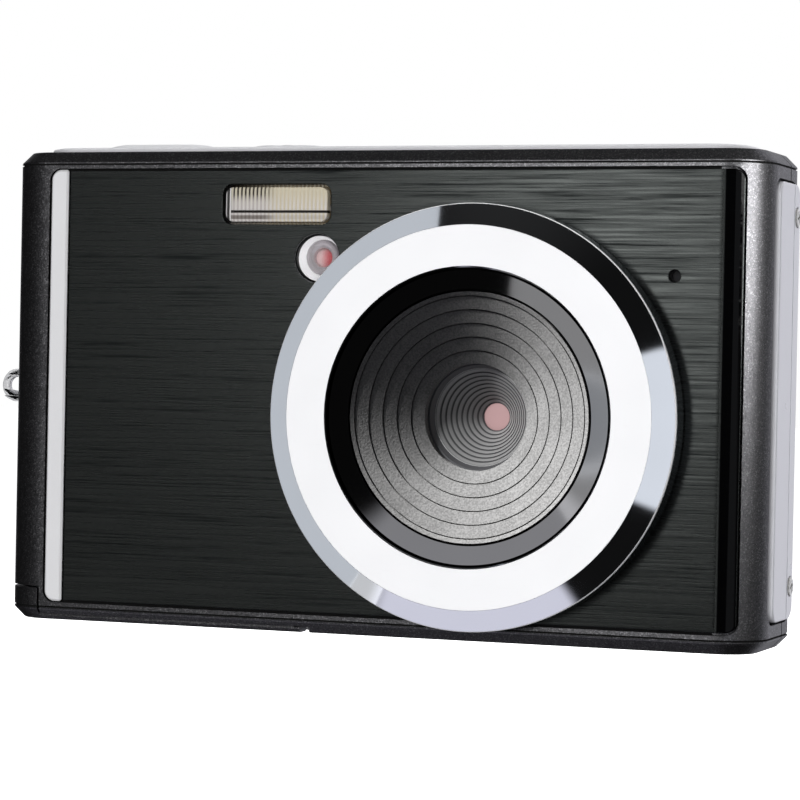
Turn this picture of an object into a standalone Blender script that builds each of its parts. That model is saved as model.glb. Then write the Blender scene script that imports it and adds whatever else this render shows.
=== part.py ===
"""Compact digital camera, built as the separate pieces it is assembled from.

Frame: +X to the viewer's right as seen from the front, +Y from the front to the
screen side, +Z up. The origin is the middle of the base, on the base face.
All sizes below are in millimetres and are turned into metres by MM.
"""

import math

import bmesh
import bpy
from mathutils import Matrix, Vector

MM = 0.001

# ---------------------------------------------------------------- driving sizes
HALF_WIDTH = 48.75
HEIGHT = 58.5
FRONT_Y = -10.0
REAR_Y = 10.0
CORNER_R = 5.5          # upright corners of the body, seen from above
CHAMFER = 1.35          # slope round the top and the base
WALL = 1.5              # side, top, base and rear walls
PART_LINE_Y = 2.0       # where the front and rear shells meet
GAP = 0.3               # clearance between neighbouring pieces
HALF_GAP = GAP / 2

PLATE_X = (-42.5, 46.1)  # strip and plate together
PLATE_Z = (2.3, 56.3)
PLATE_T = 0.6
PLATE_CORNER = 1.3
STRIP_END_X = -40.2
RECESS_FLOOR_Y = -9.2    # floor that the front plate lies on
FRONT_WALL_Y = -8.2      # inner face of the front wall

LENS_X, LENS_Z = 14.4, 26.7
RING_R = 25.2
RING_FACE_R = 22.6
RING_INNER_R = 17.6
RING_FRONT = 14.7        # distances in front of y = 0 along the lens axis
RING_SHOULDER = 13.5
RING_BASE = 10.3
PLATE_HOLE_R = 23.4

FLASH_X, FLASH_Z = -12.0, 51.9
FLASH_W, FLASH_H = 14.2, 4.6
LAMP_X, LAMP_Z, LAMP_R = -6.6, 45.4, 2.5
MIC_X, MIC_Z = 38.1, 43.6

TOP_TRIM_X = (-46.3, 45.2)
TOP_TRIM_Y = (-6.0, 6.2)
TOP_TRIM_Z = (58.1, 59.3)
RIGHT_TRIM_X = (48.25, 49.25)
RIGHT_TRIM_Y = (-4.5, 5.0)
RIGHT_TRIM_Z = (3.5, 55.0)
LEFT_TRIM_X = (-49.15, -48.25)
LEFT_TRIM_Y = (-3.2, 5.0)
LEFT_TRIM_Z = (6.4, 55.0)
TRIM_R = 1.8
SHUTTER_X, SHUTTER_SIZE, SHUTTER_TOP = -31.6, (14.8, 7.8), 59.85
POWER_X, POWER_SIZE, POWER_TOP = -14.5, (9.0, 4.6), 59.75
BUTTON_BASE_Z = 56.0     # where both top buttons grow out of their flanges

PAD_X, PAD_Z = -31.0, 27.4
PAD_R, PAD_INNER_R, OK_R = 10.5, 5.0, 4.6
KEY_TOP_Y = 10.4
KEY_BASE_Y = 7.3         # where a cap grows out of its flange
KEY_SIZE = (8.0, 4.4)
KEYS = {
    "mode_button": (-38.8, 41.6),
    "playback_button": (-23.2, 41.6),
    "menu_button": (-38.8, 13.2),
    "delete_button": (-23.2, 13.2),
}
ROCKER_Z, ROCKER_SIZE, ROCKER_AXIS_Y = 50.3, (17.0, 5.4), 7.8

SCREEN_X, SCREEN_Z = 15.75, 29.5
WINDOW_SIZE = (54.7, 44.2)

BATTERY_LOW = (-43.6, -7.0, 3.6)
BATTERY_HIGH = (-9.6, -1.1, 43.6)
DOOR_END_X = -8.3        # inner end of the battery door
DOOR_REAR_Y = 5.2
DOOR_T = 1.6
LIP_TOP_Z = 3.9
LIP_END_X = -43.5        # where the lip ends on the front face
HINGE_X, HINGE_Z, HINGE_R = -8.6, 1.2, 1.2
PIN_R, PIN_BORE_R = 0.5, 0.65
DOOR_SWING_X = -7.1      # how far the door's inner end reaches as it swings
DOOR_TRAVEL = 3.0        # how far the door slides out before it swings

BUSH_X, BUSH_Y = 12.0, -3.2
BUSH_R, BUSH_BORE_R = 4.5, 3.2
BUSH_DEPTH, BUSH_BORE_DEPTH = 6.5, 5.2
USB_X, USB_Y = 30.0, -3.0
EYELET_Y, EYELET_Z = -0.1, 29.15
SIDE_SCREW_Y = 3.6
RIGHT_SCREW_Z = {"upper": 51.1, "lower": 7.4}
LEFT_SCREW_Z = {"upper": 51.1, "lower": 10.0}
BASE_SCREW_X = {"inner": 21.0, "outer": 40.5}
BASE_SCREW_Y = 6.2

EYELET_TIP_X = -53.9
EYELET_HOLE_X = -51.8
EYELET_R, EYELET_HOLE_R = 2.1, 1.1

BIG = 80.0               # reach of a cutter that only has to pass the body

# local Z of a turned or flat piece, turned onto a body axis
ALONG_Z = Matrix.Identity(4)
ALONG_FRONT = Matrix.Rotation(math.radians(90), 4, "X")
ALONG_X = Matrix(((0, 0, 1, 0), (1, 0, 0, 0), (0, 1, 0, 0), (0, 0, 0, 1)))
ALONG_LEFT = Matrix.Rotation(math.pi, 4, "Z") @ ALONG_X
ALONG_DOWN = Matrix.Rotation(math.pi, 4, "X")

# ---------------------------------------------------------------- scene set-up
for old in list(bpy.data.objects):
    bpy.data.objects.remove(old)

camera_parts = bpy.data.collections.new("compact_camera")
cutter_parts = bpy.data.collections.new("cutters")
bpy.context.scene.collection.children.link(camera_parts)
bpy.context.scene.collection.children.link(cutter_parts)


def material(name, colour, roughness, metallic=0.0, transmission=0.0):
    made = bpy.data.materials.get(name)
    if made:
        return made
    made = bpy.data.materials.new(name)
    made.use_nodes = True
    shader = made.node_tree.nodes["Principled BSDF"]
    shader.inputs["Base Color"].default_value = (*colour, 1.0)
    shader.inputs["Roughness"].default_value = roughness
    shader.inputs["Metallic"].default_value = metallic
    shader.inputs["Transmission Weight"].default_value = transmission
    return made


SHELL = ("painted_shell", (0.03, 0.03, 0.035), 0.45)
BRUSHED = ("brushed_black", (0.04, 0.045, 0.045), 0.35, 0.9)
SILVER = ("bright_silver", (0.82, 0.82, 0.84), 0.2, 1.0)
GLOSS = ("gloss_black", (0.01, 0.01, 0.012), 0.08)
MATTE = ("matte_black", (0.05, 0.05, 0.05), 0.6)
CLEAR = ("clear_plastic", (0.95, 0.95, 0.93), 0.05, 0.0, 1.0)
GLASS = ("lens_glass", (0.9, 0.6, 0.62), 0.03, 0.0, 1.0)
REFLECTOR = ("reflector", (0.93, 0.88, 0.74), 0.15, 1.0)
BOARD = ("circuit_board", (0.02, 0.16, 0.07), 0.5)
STEEL = ("steel", (0.55, 0.55, 0.56), 0.3, 1.0)
BRASS = ("brass", (0.78, 0.57, 0.22), 0.3, 1.0)
WRAP = ("blue_wrap", (0.04, 0.07, 0.2), 0.35)
GREY = ("grey_plastic", (0.35, 0.35, 0.36), 0.5)
RED = ("red_lens", (0.7, 0.05, 0.04), 0.1)
ORANGE = ("orange_plastic", (0.85, 0.3, 0.05), 0.45)
SCREEN = ("screen", (0.02, 0.02, 0.03), 0.1)
RUBBER = ("dark_cell", (0.08, 0.08, 0.09), 0.5)


# ---------------------------------------------------------------- shape helpers
def place(name, mesh, matrix, finish, cutter=False):
    made = bpy.data.objects.new(name, mesh)
    (cutter_parts if cutter else camera_parts).objects.link(made)
    made.matrix_world = matrix
    if cutter:
        made.hide_render = True
        made.display_type = "WIRE"
    else:
        made.data.materials.clear()
        made.data.materials.append(material(*finish))
    return made


def at(x, y, z):
    return Matrix.Translation(Vector((x, y, z)) * MM)


def block(name, low, high, finish=None, bevel=0.0, segments=2):
    """A box between two corners, with its edges rounded when bevel is given."""
    low, high = Vector(low), Vector(high)
    size = high - low
    shape = bmesh.new()
    bmesh.ops.create_cube(shape, size=MM)
    bmesh.ops.scale(shape, vec=size, verts=shape.verts)
    mesh = bpy.data.meshes.new(name)
    shape.to_mesh(mesh)
    shape.free()
    made = place(name, mesh, at(*(low + high) / 2), finish, cutter=finish is None)
    if bevel:
        round_edges(made, bevel, segments)
    return made


def round_edges(piece, width, segments, angle=40):
    """Rounds or chamfers the edges sharper than angle."""
    edge = piece.modifiers.new("edges", "BEVEL")
    edge.width = width * MM
    edge.segments = segments
    edge.limit_method = "ANGLE"
    edge.angle_limit = math.radians(angle)


def drum(name, centre, direction, radius, length, finish=None, steps=24, bevel=0.0):
    """A cylinder centred on a point, along one of the ALONG directions."""
    shape = bmesh.new()
    bmesh.ops.create_cone(
        shape, cap_ends=True, segments=steps, radius1=radius * MM, radius2=radius * MM, depth=length * MM
    )
    mesh = bpy.data.meshes.new(name)
    shape.to_mesh(mesh)
    shape.free()
    mesh.shade_smooth()
    mesh.set_sharp_from_angle(angle=math.radians(35))
    made = place(name, mesh, at(*centre) @ direction, finish, cutter=finish is None)
    if bevel:
        round_edges(made, bevel, 2, angle=60)
    return made


def turned(name, profile, centre, direction, finish, steps=32, closed=True):
    """A profile of (radius, height) pairs spun round the axis.

    Heights are along direction, and the profile runs down its outer side. An open
    profile starts and ends on the axis.
    """
    mesh = bpy.data.meshes.new(name)
    points = [(radius * MM, 0.0, height * MM) for radius, height in profile]
    edges = [(i, i + 1) for i in range(len(points) - 1)]
    if closed:
        edges.append((len(points) - 1, 0))
    mesh.from_pydata(points, edges, [])
    made = place(name, mesh, at(*centre) @ direction, finish)
    spin = made.modifiers.new("spin", "SCREW")
    spin.steps = steps
    spin.render_steps = steps
    spin.use_merge_vertices = True
    spin.merge_threshold = 0.000005
    return made


def arc(cx, cy, radius, start, end, steps):
    """Points on a circle, from one angle to another in degrees."""
    span = end - start
    angles = [math.radians(start + span * i / steps) for i in range(steps + 1)]
    return [(cx + radius * math.cos(a), cy + radius * math.sin(a)) for a in angles]


def rounded(x0, x1, y0, y1, radius, steps=5):
    """The outline of a rectangle with round corners, anticlockwise."""
    return (
        arc(x1 - radius, y0 + radius, radius, -90, 0, steps)
        + arc(x1 - radius, y1 - radius, radius, 0, 90, steps)
        + arc(x0 + radius, y1 - radius, radius, 90, 180, steps)
        + arc(x0 + radius, y0 + radius, radius, 180, 270, steps)
    )


def centred(width, height, radius, cx=0.0, cy=0.0, steps=5):
    return rounded(cx - width / 2, cx + width / 2, cy - height / 2, cy + height / 2, radius, steps)


def plate(name, outlines, centre, direction, thickness, finish=None):
    """A flat piece of even thickness, centred on a point; later outlines are holes."""
    curve = bpy.data.curves.new(name, "CURVE")
    curve.dimensions = "2D"
    curve.fill_mode = "BOTH"
    curve.extrude = thickness / 2 * MM
    for outline in outlines:
        spline = curve.splines.new("POLY")
        spline.points.add(len(outline) - 1)
        for point, (x, y) in zip(spline.points, outline):
            point.co = (x * MM, y * MM, 0.0, 1.0)
        spline.use_cyclic_u = True
    guide = place(name + "_guide", curve, at(*centre) @ direction, None, cutter=True)
    return from_curve(name, guide, finish)


def from_curve(name, guide, finish):
    """Turns a curve object into a mesh object in its place, with its caps welded."""
    bpy.context.view_layer.update()
    evaluated = guide.evaluated_get(bpy.context.evaluated_depsgraph_get())
    mesh = bpy.data.meshes.new_from_object(evaluated)
    shape = bmesh.new()
    shape.from_mesh(mesh)
    bmesh.ops.remove_doubles(shape, verts=shape.verts, dist=0.000001)
    bmesh.ops.recalc_face_normals(shape, faces=shape.faces)
    shape.to_mesh(mesh)
    shape.free()
    matrix = guide.matrix_world.copy()
    bpy.data.objects.remove(guide)
    return place(name, mesh, matrix, finish, cutter=finish is None)


def combine(piece, tool, operation):
    step = piece.modifiers.new(tool.name, "BOOLEAN")
    step.operation = operation
    step.object = tool
    step.solver = "EXACT"
    if tool.name not in cutter_parts.objects:
        camera_parts.objects.unlink(tool)
        cutter_parts.objects.link(tool)
        tool.hide_render = True
        tool.display_type = "WIRE"
    return piece


def cut(piece, *tools):
    for tool in tools:
        combine(piece, tool, "DIFFERENCE")
    return piece


def join(piece, *tools):
    for tool in tools:
        combine(piece, tool, "UNION")
    return piece


def clip(piece, tool):
    return combine(piece, tool, "INTERSECT")


def pivot(name, x, y, z, *pieces):
    """An empty on a joint's axis that carries the pieces moving about it."""
    carrier = bpy.data.objects.new(name, None)
    camera_parts.objects.link(carrier)
    carrier.matrix_world = at(x, y, z)
    carrier.empty_display_size = 3 * MM
    for piece in pieces:
        matrix = piece.matrix_world.copy()
        piece.parent = carrier
        piece.matrix_parent_inverse = carrier.matrix_world.inverted()
        piece.matrix_world = matrix


def body_form(name, inset, low_z, high_z, finish=None, chamfer=0.0):
    """The body's outline, drawn in by inset, as an upright prism."""
    radius = CORNER_R - inset
    outline = rounded(
        inset - HALF_WIDTH, HALF_WIDTH - inset, FRONT_Y + inset, REAR_Y - inset, radius, steps=7
    )
    middle = (0, 0, (low_z + high_z) / 2)
    made = plate(name, [outline], middle, ALONG_Z, high_z - low_z, finish)
    if chamfer:
        round_edges(made, chamfer, 1, angle=60)
    return made


def face_slab(name, margin):
    """The front plate's outline as a slab through the front face."""
    outline = rounded(
        PLATE_X[0] - margin, PLATE_X[1] + margin, PLATE_Z[0] - margin, PLATE_Z[1] + margin,
        PLATE_CORNER + margin,
    )
    return plate(name, [outline], (0, FRONT_Y, 0), ALONG_FRONT, 4.0)


def face_skin(name, outer_inset, depth, margin, finish=None):
    """A layer of the front face that follows its outline and its right-hand corner."""
    made = body_form(name, outer_inset, -BIG, BIG, finish)
    cut(made, body_form(name + "_core", depth, -BIG - 1, BIG + 1))
    return clip(made, face_slab(name + "_slab", margin))


# ---------------------------------------------------------------- shared cutters
lens_hole = drum("lens_hole", (LENS_X, FRONT_Y, LENS_Z), ALONG_FRONT, 8.6, 6.0, steps=32)
ring_hole = drum("ring_hole", (LENS_X, FRONT_Y, LENS_Z), ALONG_FRONT, PLATE_HOLE_R, 4.0, steps=64)
lamp_hole = drum("lamp_hole", (LAMP_X, FRONT_Y, LAMP_Z), ALONG_FRONT, LAMP_R + 0.25, 6.0)
mic_hole = drum("mic_hole", (MIC_X, FRONT_Y, MIC_Z), ALONG_FRONT, 0.7, 6.0, steps=12)
flash_hole = plate(
    "flash_hole", [centred(FLASH_W + 0.6, FLASH_H + 0.6, 1.2, FLASH_X, FLASH_Z)],
    (0, FRONT_Y, 0), ALONG_FRONT, 6.0,
)
shutter_hole = plate(
    "shutter_hole", [centred(SHUTTER_SIZE[0] + 0.6, SHUTTER_SIZE[1] + 0.6, 4.0, SHUTTER_X, steps=6)],
    (0, 0, HEIGHT), ALONG_Z, 8.0,
)
power_hole = plate(
    "power_hole", [centred(POWER_SIZE[0] + 0.6, POWER_SIZE[1] + 0.6, 2.5, POWER_X, steps=6)],
    (0, 0, HEIGHT), ALONG_Z, 8.0,
)
top_pocket = plate(
    "top_pocket", [rounded(-46.5, 45.4, -6.2, 6.4, 5.2)], (0, 0, HEIGHT + 1.3), ALONG_Z, 4.0
)
right_pocket = plate(
    "right_pocket", [rounded(-4.7, 5.2, 3.3, 55.2, 2.0)], (HALF_WIDTH + 1.2, 0, 0), ALONG_X, 4.0
)
left_pocket = plate(
    "left_pocket", [rounded(-3.4, 5.2, 6.2, 55.2, 2.0)], (-HALF_WIDTH - 1.2, 0, 0), ALONG_X, 4.0
)
eyelet_slot = block(
    "eyelet_slot", (-BIG, EYELET_Y - 0.8, EYELET_Z - 2.2), (-46.0, EYELET_Y + 0.8, EYELET_Z + 2.2)
)
right_screw_holes = [
    drum("right_screw_hole_" + end, (HALF_WIDTH, SIDE_SCREW_Y, z), ALONG_X, 0.95, 9.0, steps=12)
    for end, z in RIGHT_SCREW_Z.items()
]
left_screw_holes = [
    drum("left_screw_hole_" + end, (-HALF_WIDTH, SIDE_SCREW_Y, z), ALONG_X, 0.95, 9.0, steps=12)
    for end, z in LEFT_SCREW_Z.items()
]


def door_opening(name):
    """The hole in the base and the left-hand corner that the battery door fills."""
    lip = block(name + "_lip", (-BIG, -BIG, -BIG), (LIP_END_X + GAP, DOOR_REAR_Y + GAP, LIP_TOP_Z + GAP))
    floor = block(name + "_floor", (-BIG, -8.2, -BIG), (DOOR_SWING_X, DOOR_REAR_Y + GAP, DOOR_T + GAP))
    front = block(name + "_front", (-BIG, -9.4, -BIG), (DOOR_SWING_X, -8.0, 1.15))
    swing = block(name + "_swing", (HINGE_X - DOOR_TRAVEL - 0.7, -9.4, 0.5), (DOOR_SWING_X, -8.0, 1.95))
    return lip, floor, front, swing


# ---------------------------------------------------------------- casing
def front_shell():
    shell = body_form("front_shell", 0.0, 0.0, HEIGHT, SHELL, CHAMFER)
    cavity = plate(
        "front_cavity",
        [rounded(WALL - HALF_WIDTH, HALF_WIDTH - WALL, FRONT_WALL_Y, REAR_Y + 5, 4.0)],
        (0, 0, HEIGHT / 2), ALONG_Z, HEIGHT - 2 * WALL,
    )
    cut(shell, cavity)
    cut(shell, block("front_limit", (-BIG, PART_LINE_Y - HALF_GAP, -BIG), (BIG, BIG, BIG)))
    cut(shell, face_skin("plate_recess", -1.0, RECESS_FLOOR_Y - FRONT_Y, 0.2))
    cut(shell, lens_hole, lamp_hole, mic_hole, flash_hole)
    cut(shell, top_pocket, shutter_hole, power_hole, right_pocket, left_pocket, eyelet_slot)
    cut(shell, drum("bush_hole", (BUSH_X, BUSH_Y, 0), ALONG_Z, BUSH_R + GAP, 6.0, steps=32))
    cut(shell, block("usb_hole", (USB_X - 4.2, USB_Y - 1.75, -2), (USB_X + 4.2, USB_Y + 1.75, 3)))
    for i in range(3):
        cut(shell, drum(f"sound_hole_{i}", (36.0 + 2.2 * i, -5.6, 0), ALONG_Z, 0.6, 6.0, steps=10))
    return cut(shell, *door_opening("front_door"))


def rear_shell():
    shell = body_form("rear_shell", 0.0, 0.0, HEIGHT, SHELL, CHAMFER)
    cavity = plate(
        "rear_cavity",
        [rounded(WALL - HALF_WIDTH, HALF_WIDTH - WALL, FRONT_Y - 5, REAR_Y - WALL, 4.0)],
        (0, 0, HEIGHT / 2), ALONG_Z, HEIGHT - 2 * WALL,
    )
    cut(shell, cavity)
    cut(shell, block("rear_limit", (-BIG, -BIG, -BIG), (BIG, PART_LINE_Y + HALF_GAP, BIG)))
    cut(shell, top_pocket, shutter_hole, power_hole, right_pocket, left_pocket)
    cut(shell, *right_screw_holes, *left_screw_holes)
    width, height = WINDOW_SIZE
    recess = [centred(width + 0.4, height + 0.4, 1.7, SCREEN_X, SCREEN_Z)]
    opening = [centred(width - 4.5, height - 5.8, 1.0, SCREEN_X, SCREEN_Z)]
    cut(shell, plate("window_recess", recess, (0, REAR_Y + 1.0, 0), ALONG_FRONT, 4.0))
    cut(shell, plate("window_opening", opening, (0, REAR_Y, 0), ALONG_FRONT, 6.0))
    for name, (x, z) in KEYS.items():
        hole = [centred(KEY_SIZE[0] + 0.6, KEY_SIZE[1] + 0.6, 2.4, x, z, steps=4)]
        cut(shell, plate(name + "_hole", hole, (0, REAR_Y, 0), ALONG_FRONT, 6.0))
    cut(shell, drum("pad_hole", (PAD_X, REAR_Y, PAD_Z), ALONG_FRONT, PAD_R + 0.35, 6.0, steps=48))
    slot = [centred(ROCKER_SIZE[0] + 0.9, ROCKER_SIZE[1] + 0.6, 2.8, PAD_X, ROCKER_Z)]
    cut(shell, plate("rocker_slot", slot, (0, REAR_Y, 0), ALONG_FRONT, 6.0))
    for end, x in BASE_SCREW_X.items():
        cut(shell, drum("base_screw_hole_" + end, (x, BASE_SCREW_Y, 0), ALONG_Z, 0.95, 5.0, steps=12))
        cut(shell, drum("base_screw_seat_" + end, (x, BASE_SCREW_Y, 0), ALONG_Z, 1.7, 1.6, steps=16))
    return cut(shell, *door_opening("rear_door"))


def front_plate():
    made = face_skin("front_plate", 0.0, PLATE_T, 0.0, BRUSHED)
    cut(made, block("plate_split", (-BIG, -BIG, -BIG), (STRIP_END_X + GAP, BIG, BIG)))
    return cut(made, ring_hole, flash_hole, lamp_hole, mic_hole)


def silver_strip():
    made = face_skin("silver_strip", 0.0, PLATE_T, 0.0, SILVER)
    return cut(made, block("strip_split", (STRIP_END_X, -BIG, -BIG), (BIG, BIG, BIG)))


def side_trim(name, x_range, y_range, z_range):
    low, high = x_range
    outline = rounded(*y_range, *z_range, TRIM_R)
    return plate(name, [outline], ((low + high) / 2, 0, 0), ALONG_X, high - low, SILVER)


def trims():
    low, high = TOP_TRIM_Z
    outline = rounded(*TOP_TRIM_X, *TOP_TRIM_Y, CORNER_R - 0.5)
    top = plate("top_trim", [outline], (0, 0, (low + high) / 2), ALONG_Z, high - low, SILVER)
    round_edges(top, 0.25, 1)
    cut(top, shutter_hole, power_hole)

    right = side_trim("side_trim_right", RIGHT_TRIM_X, RIGHT_TRIM_Y, RIGHT_TRIM_Z)
    cut(right, block("trim_seam", (49.0, 1.9, -BIG), (BIG, 2.2, BIG)), *right_screw_holes)
    left = side_trim("side_trim_left", LEFT_TRIM_X, LEFT_TRIM_Y, LEFT_TRIM_Z)
    cut(left, eyelet_slot, *left_screw_holes)
    seats = ((right, RIGHT_TRIM_X[1], RIGHT_SCREW_Z), (left, LEFT_TRIM_X[0], LEFT_SCREW_Z))
    for piece, face_x, heights in seats:
        for end, z in heights.items():
            seat = drum(f"{piece.name}_seat_{end}", (face_x, SIDE_SCREW_Y, z), ALONG_X, 1.25, 1.1, steps=20)
            cut(piece, seat)


# ---------------------------------------------------------------- lens group
def lens_group():
    centre = (LENS_X, 0, LENS_Z)
    ring = [
        (RING_INNER_R, RING_FRONT), (RING_FACE_R, RING_FRONT), (RING_R, RING_SHOULDER), (RING_R, RING_BASE),
        (23.1, RING_BASE), (23.1, 9.5), (22.0, 9.5), (22.0, 13.2), (18.7, 13.2), (18.7, 9.5),
        (RING_INNER_R, 9.5),
    ]
    turned("lens_ring", ring, centre, ALONG_FRONT, SILVER, steps=48)
    bezel = [(15.1, 14.0), (17.3, 14.15), (17.3, 9.5), (16.3, 9.5), (16.3, 12.9), (15.1, 12.9)]
    turned("lens_bezel", bezel, centre, ALONG_FRONT, GLOSS, steps=40)

    rims = (6.35, 7.8, 9.4, 11.0, 12.6, 14.35, 14.8)
    step_up = 0.14
    slope = (13.85 - 10.9 - step_up * (len(rims) - 2)) / (rims[-1] - rims[0])
    height = 10.9
    terraces = [(rims[0], height)]
    for inner, outer in zip(rims, rims[1:]):
        height += slope * (outer - inner)
        terraces.append((outer, height))
        if outer != rims[-1]:
            height += step_up
            terraces.append((outer, height))
    skirt = [(14.8, 9.5), (13.8, 9.5), (13.8, 12.3), (7.4, 9.9), (6.35, 9.9)]
    turned("lens_cone", terraces + skirt, centre, ALONG_FRONT, MATTE, steps=36)

    steps = 9
    low_r, high_r, low_h, high_h = 1.65, 6.2, 3.0, 9.6
    baffles = [(low_r, low_h)]
    for i in range(steps):
        rise = low_h + (high_h - low_h) * (i + 1) / steps
        baffles.append((low_r + (high_r - low_r) * i / steps, rise))
        if i < steps - 1:
            baffles.append((low_r + (high_r - low_r) * (i + 1) / steps, rise))
    baffles.append((high_r, high_h))
    turned("lens_hood", [(7.4, 9.6), (7.4, 8.7), (2.9, 3.0)] + baffles, centre, ALONG_FRONT, MATTE, steps=24)

    crown = [(2.0 * math.sin(a), 2.35 + 0.4 * math.cos(a)) for a in (math.pi / 2 * i / 5 for i in range(6))]
    turned(
        "lens_element", crown + [(2.0, 1.95), (0.0, 1.65)], centre, ALONG_FRONT, GLASS, steps=16, closed=False
    )
    holder = [
        (2.35, 2.6), (4.6, 2.6), (4.6, -1.0), (6.5, -1.0), (6.5, -2.2), (3.7, -2.2), (3.7, 0.6),
        (1.5, 0.9), (1.5, 1.35), (2.35, 1.35),
    ]
    turned("lens_holder", holder, centre, ALONG_FRONT, MATTE, steps=20)
    block("image_sensor", (LENS_X - 2.5, 1.2, LENS_Z - 2.0), (LENS_X + 2.5, 2.2, LENS_Z + 2.0), SCREEN)
    block("sensor_board", (LENS_X - 9, 2.5, LENS_Z - 9), (LENS_X + 9, 3.3, LENS_Z + 9), BOARD)


# ---------------------------------------------------------------- flash and lamp
def flash_group():
    window = [centred(FLASH_W, FLASH_H, 1.0, FLASH_X, FLASH_Z)]
    plate("flash_window", window, (0, -9.65, 0), ALONG_FRONT, 0.9, CLEAR)
    low, high = (FLASH_X - 6.9, -8.9, FLASH_Z - 2.4), (FLASH_X + 6.9, -4.2, FLASH_Z + 2.4)
    reflector = block("flash_reflector", low, high, REFLECTOR)
    apex, mouth, half = -4.6, -9.5, 2.05
    side = [(apex - (apex - mouth) * (i / 8) ** 2, half * i / 8) for i in range(9)]
    trough = [(y, FLASH_Z - z) for y, z in reversed(side[1:])] + [(y, FLASH_Z + z) for y, z in side]
    cut(reflector, plate("trough", [trough], (FLASH_X, 0, 0), ALONG_X, 12.8))
    drum("flash_tube", (FLASH_X, -6.4, FLASH_Z), ALONG_X, 0.75, 12.0, GLASS, steps=16)
    drum("flash_capacitor", (-33.5, -4.0, 50.3), ALONG_X, 3.6, 21.0, WRAP, steps=28, bevel=0.5)

    dome = [(LAMP_R * math.sin(a), 10.1 + 0.8 * math.cos(a)) for a in (math.pi / 2 * i / 4 for i in range(5))]
    turned(
        "timer_lamp_lens", dome + [(LAMP_R, 9.0), (0.0, 9.0)], (LAMP_X, 0, LAMP_Z), ALONG_FRONT, CLEAR,
        steps=20, closed=False,
    )
    tip = [(1.5 * math.sin(a), 7.2 + 1.4 * math.cos(a)) for a in (math.pi / 2 * i / 4 for i in range(5))]
    turned(
        "timer_led", tip + [(1.5, 6.3), (1.8, 6.3), (1.8, 5.5), (0.0, 5.5)], (LAMP_X, 0, LAMP_Z), ALONG_FRONT,
        RED, steps=16, closed=False,
    )
    drum("microphone", (MIC_X, -7.1, MIC_Z), ALONG_FRONT, 2.0, 1.5, STEEL, steps=16)
    cone = [
        (0.0, 6.4), (2.4, 6.4), (2.6, 6.9), (5.4, 7.3), (5.6, 7.8), (6.5, 7.8), (6.5, 5.8), (4.5, 5.2),
        (4.5, 4.2), (0.0, 4.2),
    ]
    turned("speaker", cone, (38.0, 0, 13.2), ALONG_FRONT, STEEL, steps=20, closed=False)


# ---------------------------------------------------------------- boards and screen
def boards():
    main = block("main_board", (-10.0, 3.9, 5.0), (44.6, 4.9, 54.0), BOARD)
    chips = {
        "processor": ((30.0, 2.7, 21.0), (42.0, 4.2, 33.0)),
        "memory_chip": ((31.0, 2.9, 37.5), (40.0, 4.2, 48.0)),
        "board_connector": ((-7.5, 2.2, 10.0), (-3.5, 4.2, 24.0)),
        "power_coil": ((20.0, 1.9, 8.0), (26.0, 4.2, 14.0)),
    }
    for name, (low, high) in chips.items():
        join(main, block(name, low, high, GREY))

    keys = block("key_board", (-46.0, 4.9, 6.5), (-14.0, 5.7, 54.3), BOARD)
    spots = list(KEYS.values()) + [(PAD_X, PAD_Z), (PAD_X - 6, ROCKER_Z), (PAD_X + 6, ROCKER_Z)]
    spots += [(PAD_X + 7.8 * dx, PAD_Z + 7.8 * dz) for dx, dz in ((1, 0), (-1, 0), (0, 1), (0, -1))]
    for i, (x, z) in enumerate(spots):
        join(keys, drum(f"switch_dome_{i}", (x, 5.65, z), ALONG_FRONT, 1.6, 0.7, STEEL, steps=12))

    top = block("top_switch_board", (-38.0, 0.5, 51.4), (-10.6, 4.7, 52.2), BOARD)
    join(top, block("shutter_switch", (SHUTTER_X - 2.5, 0.8, 52.0), (SHUTTER_X + 2.5, 4.4, 54.0), STEEL))
    join(top, block("power_switch", (POWER_X - 2.0, 0.8, 52.0), (POWER_X + 2.0, 4.2, 54.2), STEEL))

    frame = block("lcd_frame", (-11.4, 5.2, 8.2), (43.0, 8.2, 50.8), STEEL)
    cut(frame, block("lcd_hollow", (-11.0, 5.6, 8.6), (42.6, 10.0, 50.4)))
    block("lcd_panel", (-10.7, 5.9, 8.9), (42.3, 8.1, 50.1), SCREEN)
    window = [centred(*WINDOW_SIZE, 1.5, SCREEN_X, SCREEN_Z)]
    plate("lcd_window", window, (0, 9.7, 0), ALONG_FRONT, 0.8, GLOSS)


# ---------------------------------------------------------------- battery bay
def battery_bay():
    block("battery", BATTERY_LOW, BATTERY_HIGH, RUBBER, bevel=0.8)
    bay = block("battery_chamber", (-44.7, -7.9, 3.3), (-8.9, -0.2, 46.0), MATTE)
    cut(bay, block("bay_hollow", (-43.9, -7.3, 0.0), (-9.3, -0.8, 45.2)))
    contacts = block("battery_contacts", (-33.0, -5.6, 44.2), (-20.0, -2.4, 44.9), BRASS)
    for i in range(3):
        x = -31.4 + 4.3 * i
        join(contacts, block(f"contact_blade_{i}", (x, -5.0, 43.9), (x + 1.2, -3.0, 44.5), BRASS))
    slot = block("card_slot", (-39.0, 0.1, 3.3), (-12.4, 3.2, 33.0), STEEL)
    cut(slot, block("card_hollow", (-37.9, 0.5, 0.0), (-13.5, 2.9, 32.5)))
    latch = block("battery_latch", (-44.3, -2.6, 1.95), (-40.6, 3.0, 3.0), ORANGE, bevel=0.2)
    pivot("latch_axis", -42.45, 0.2, 2.5, latch)


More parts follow.
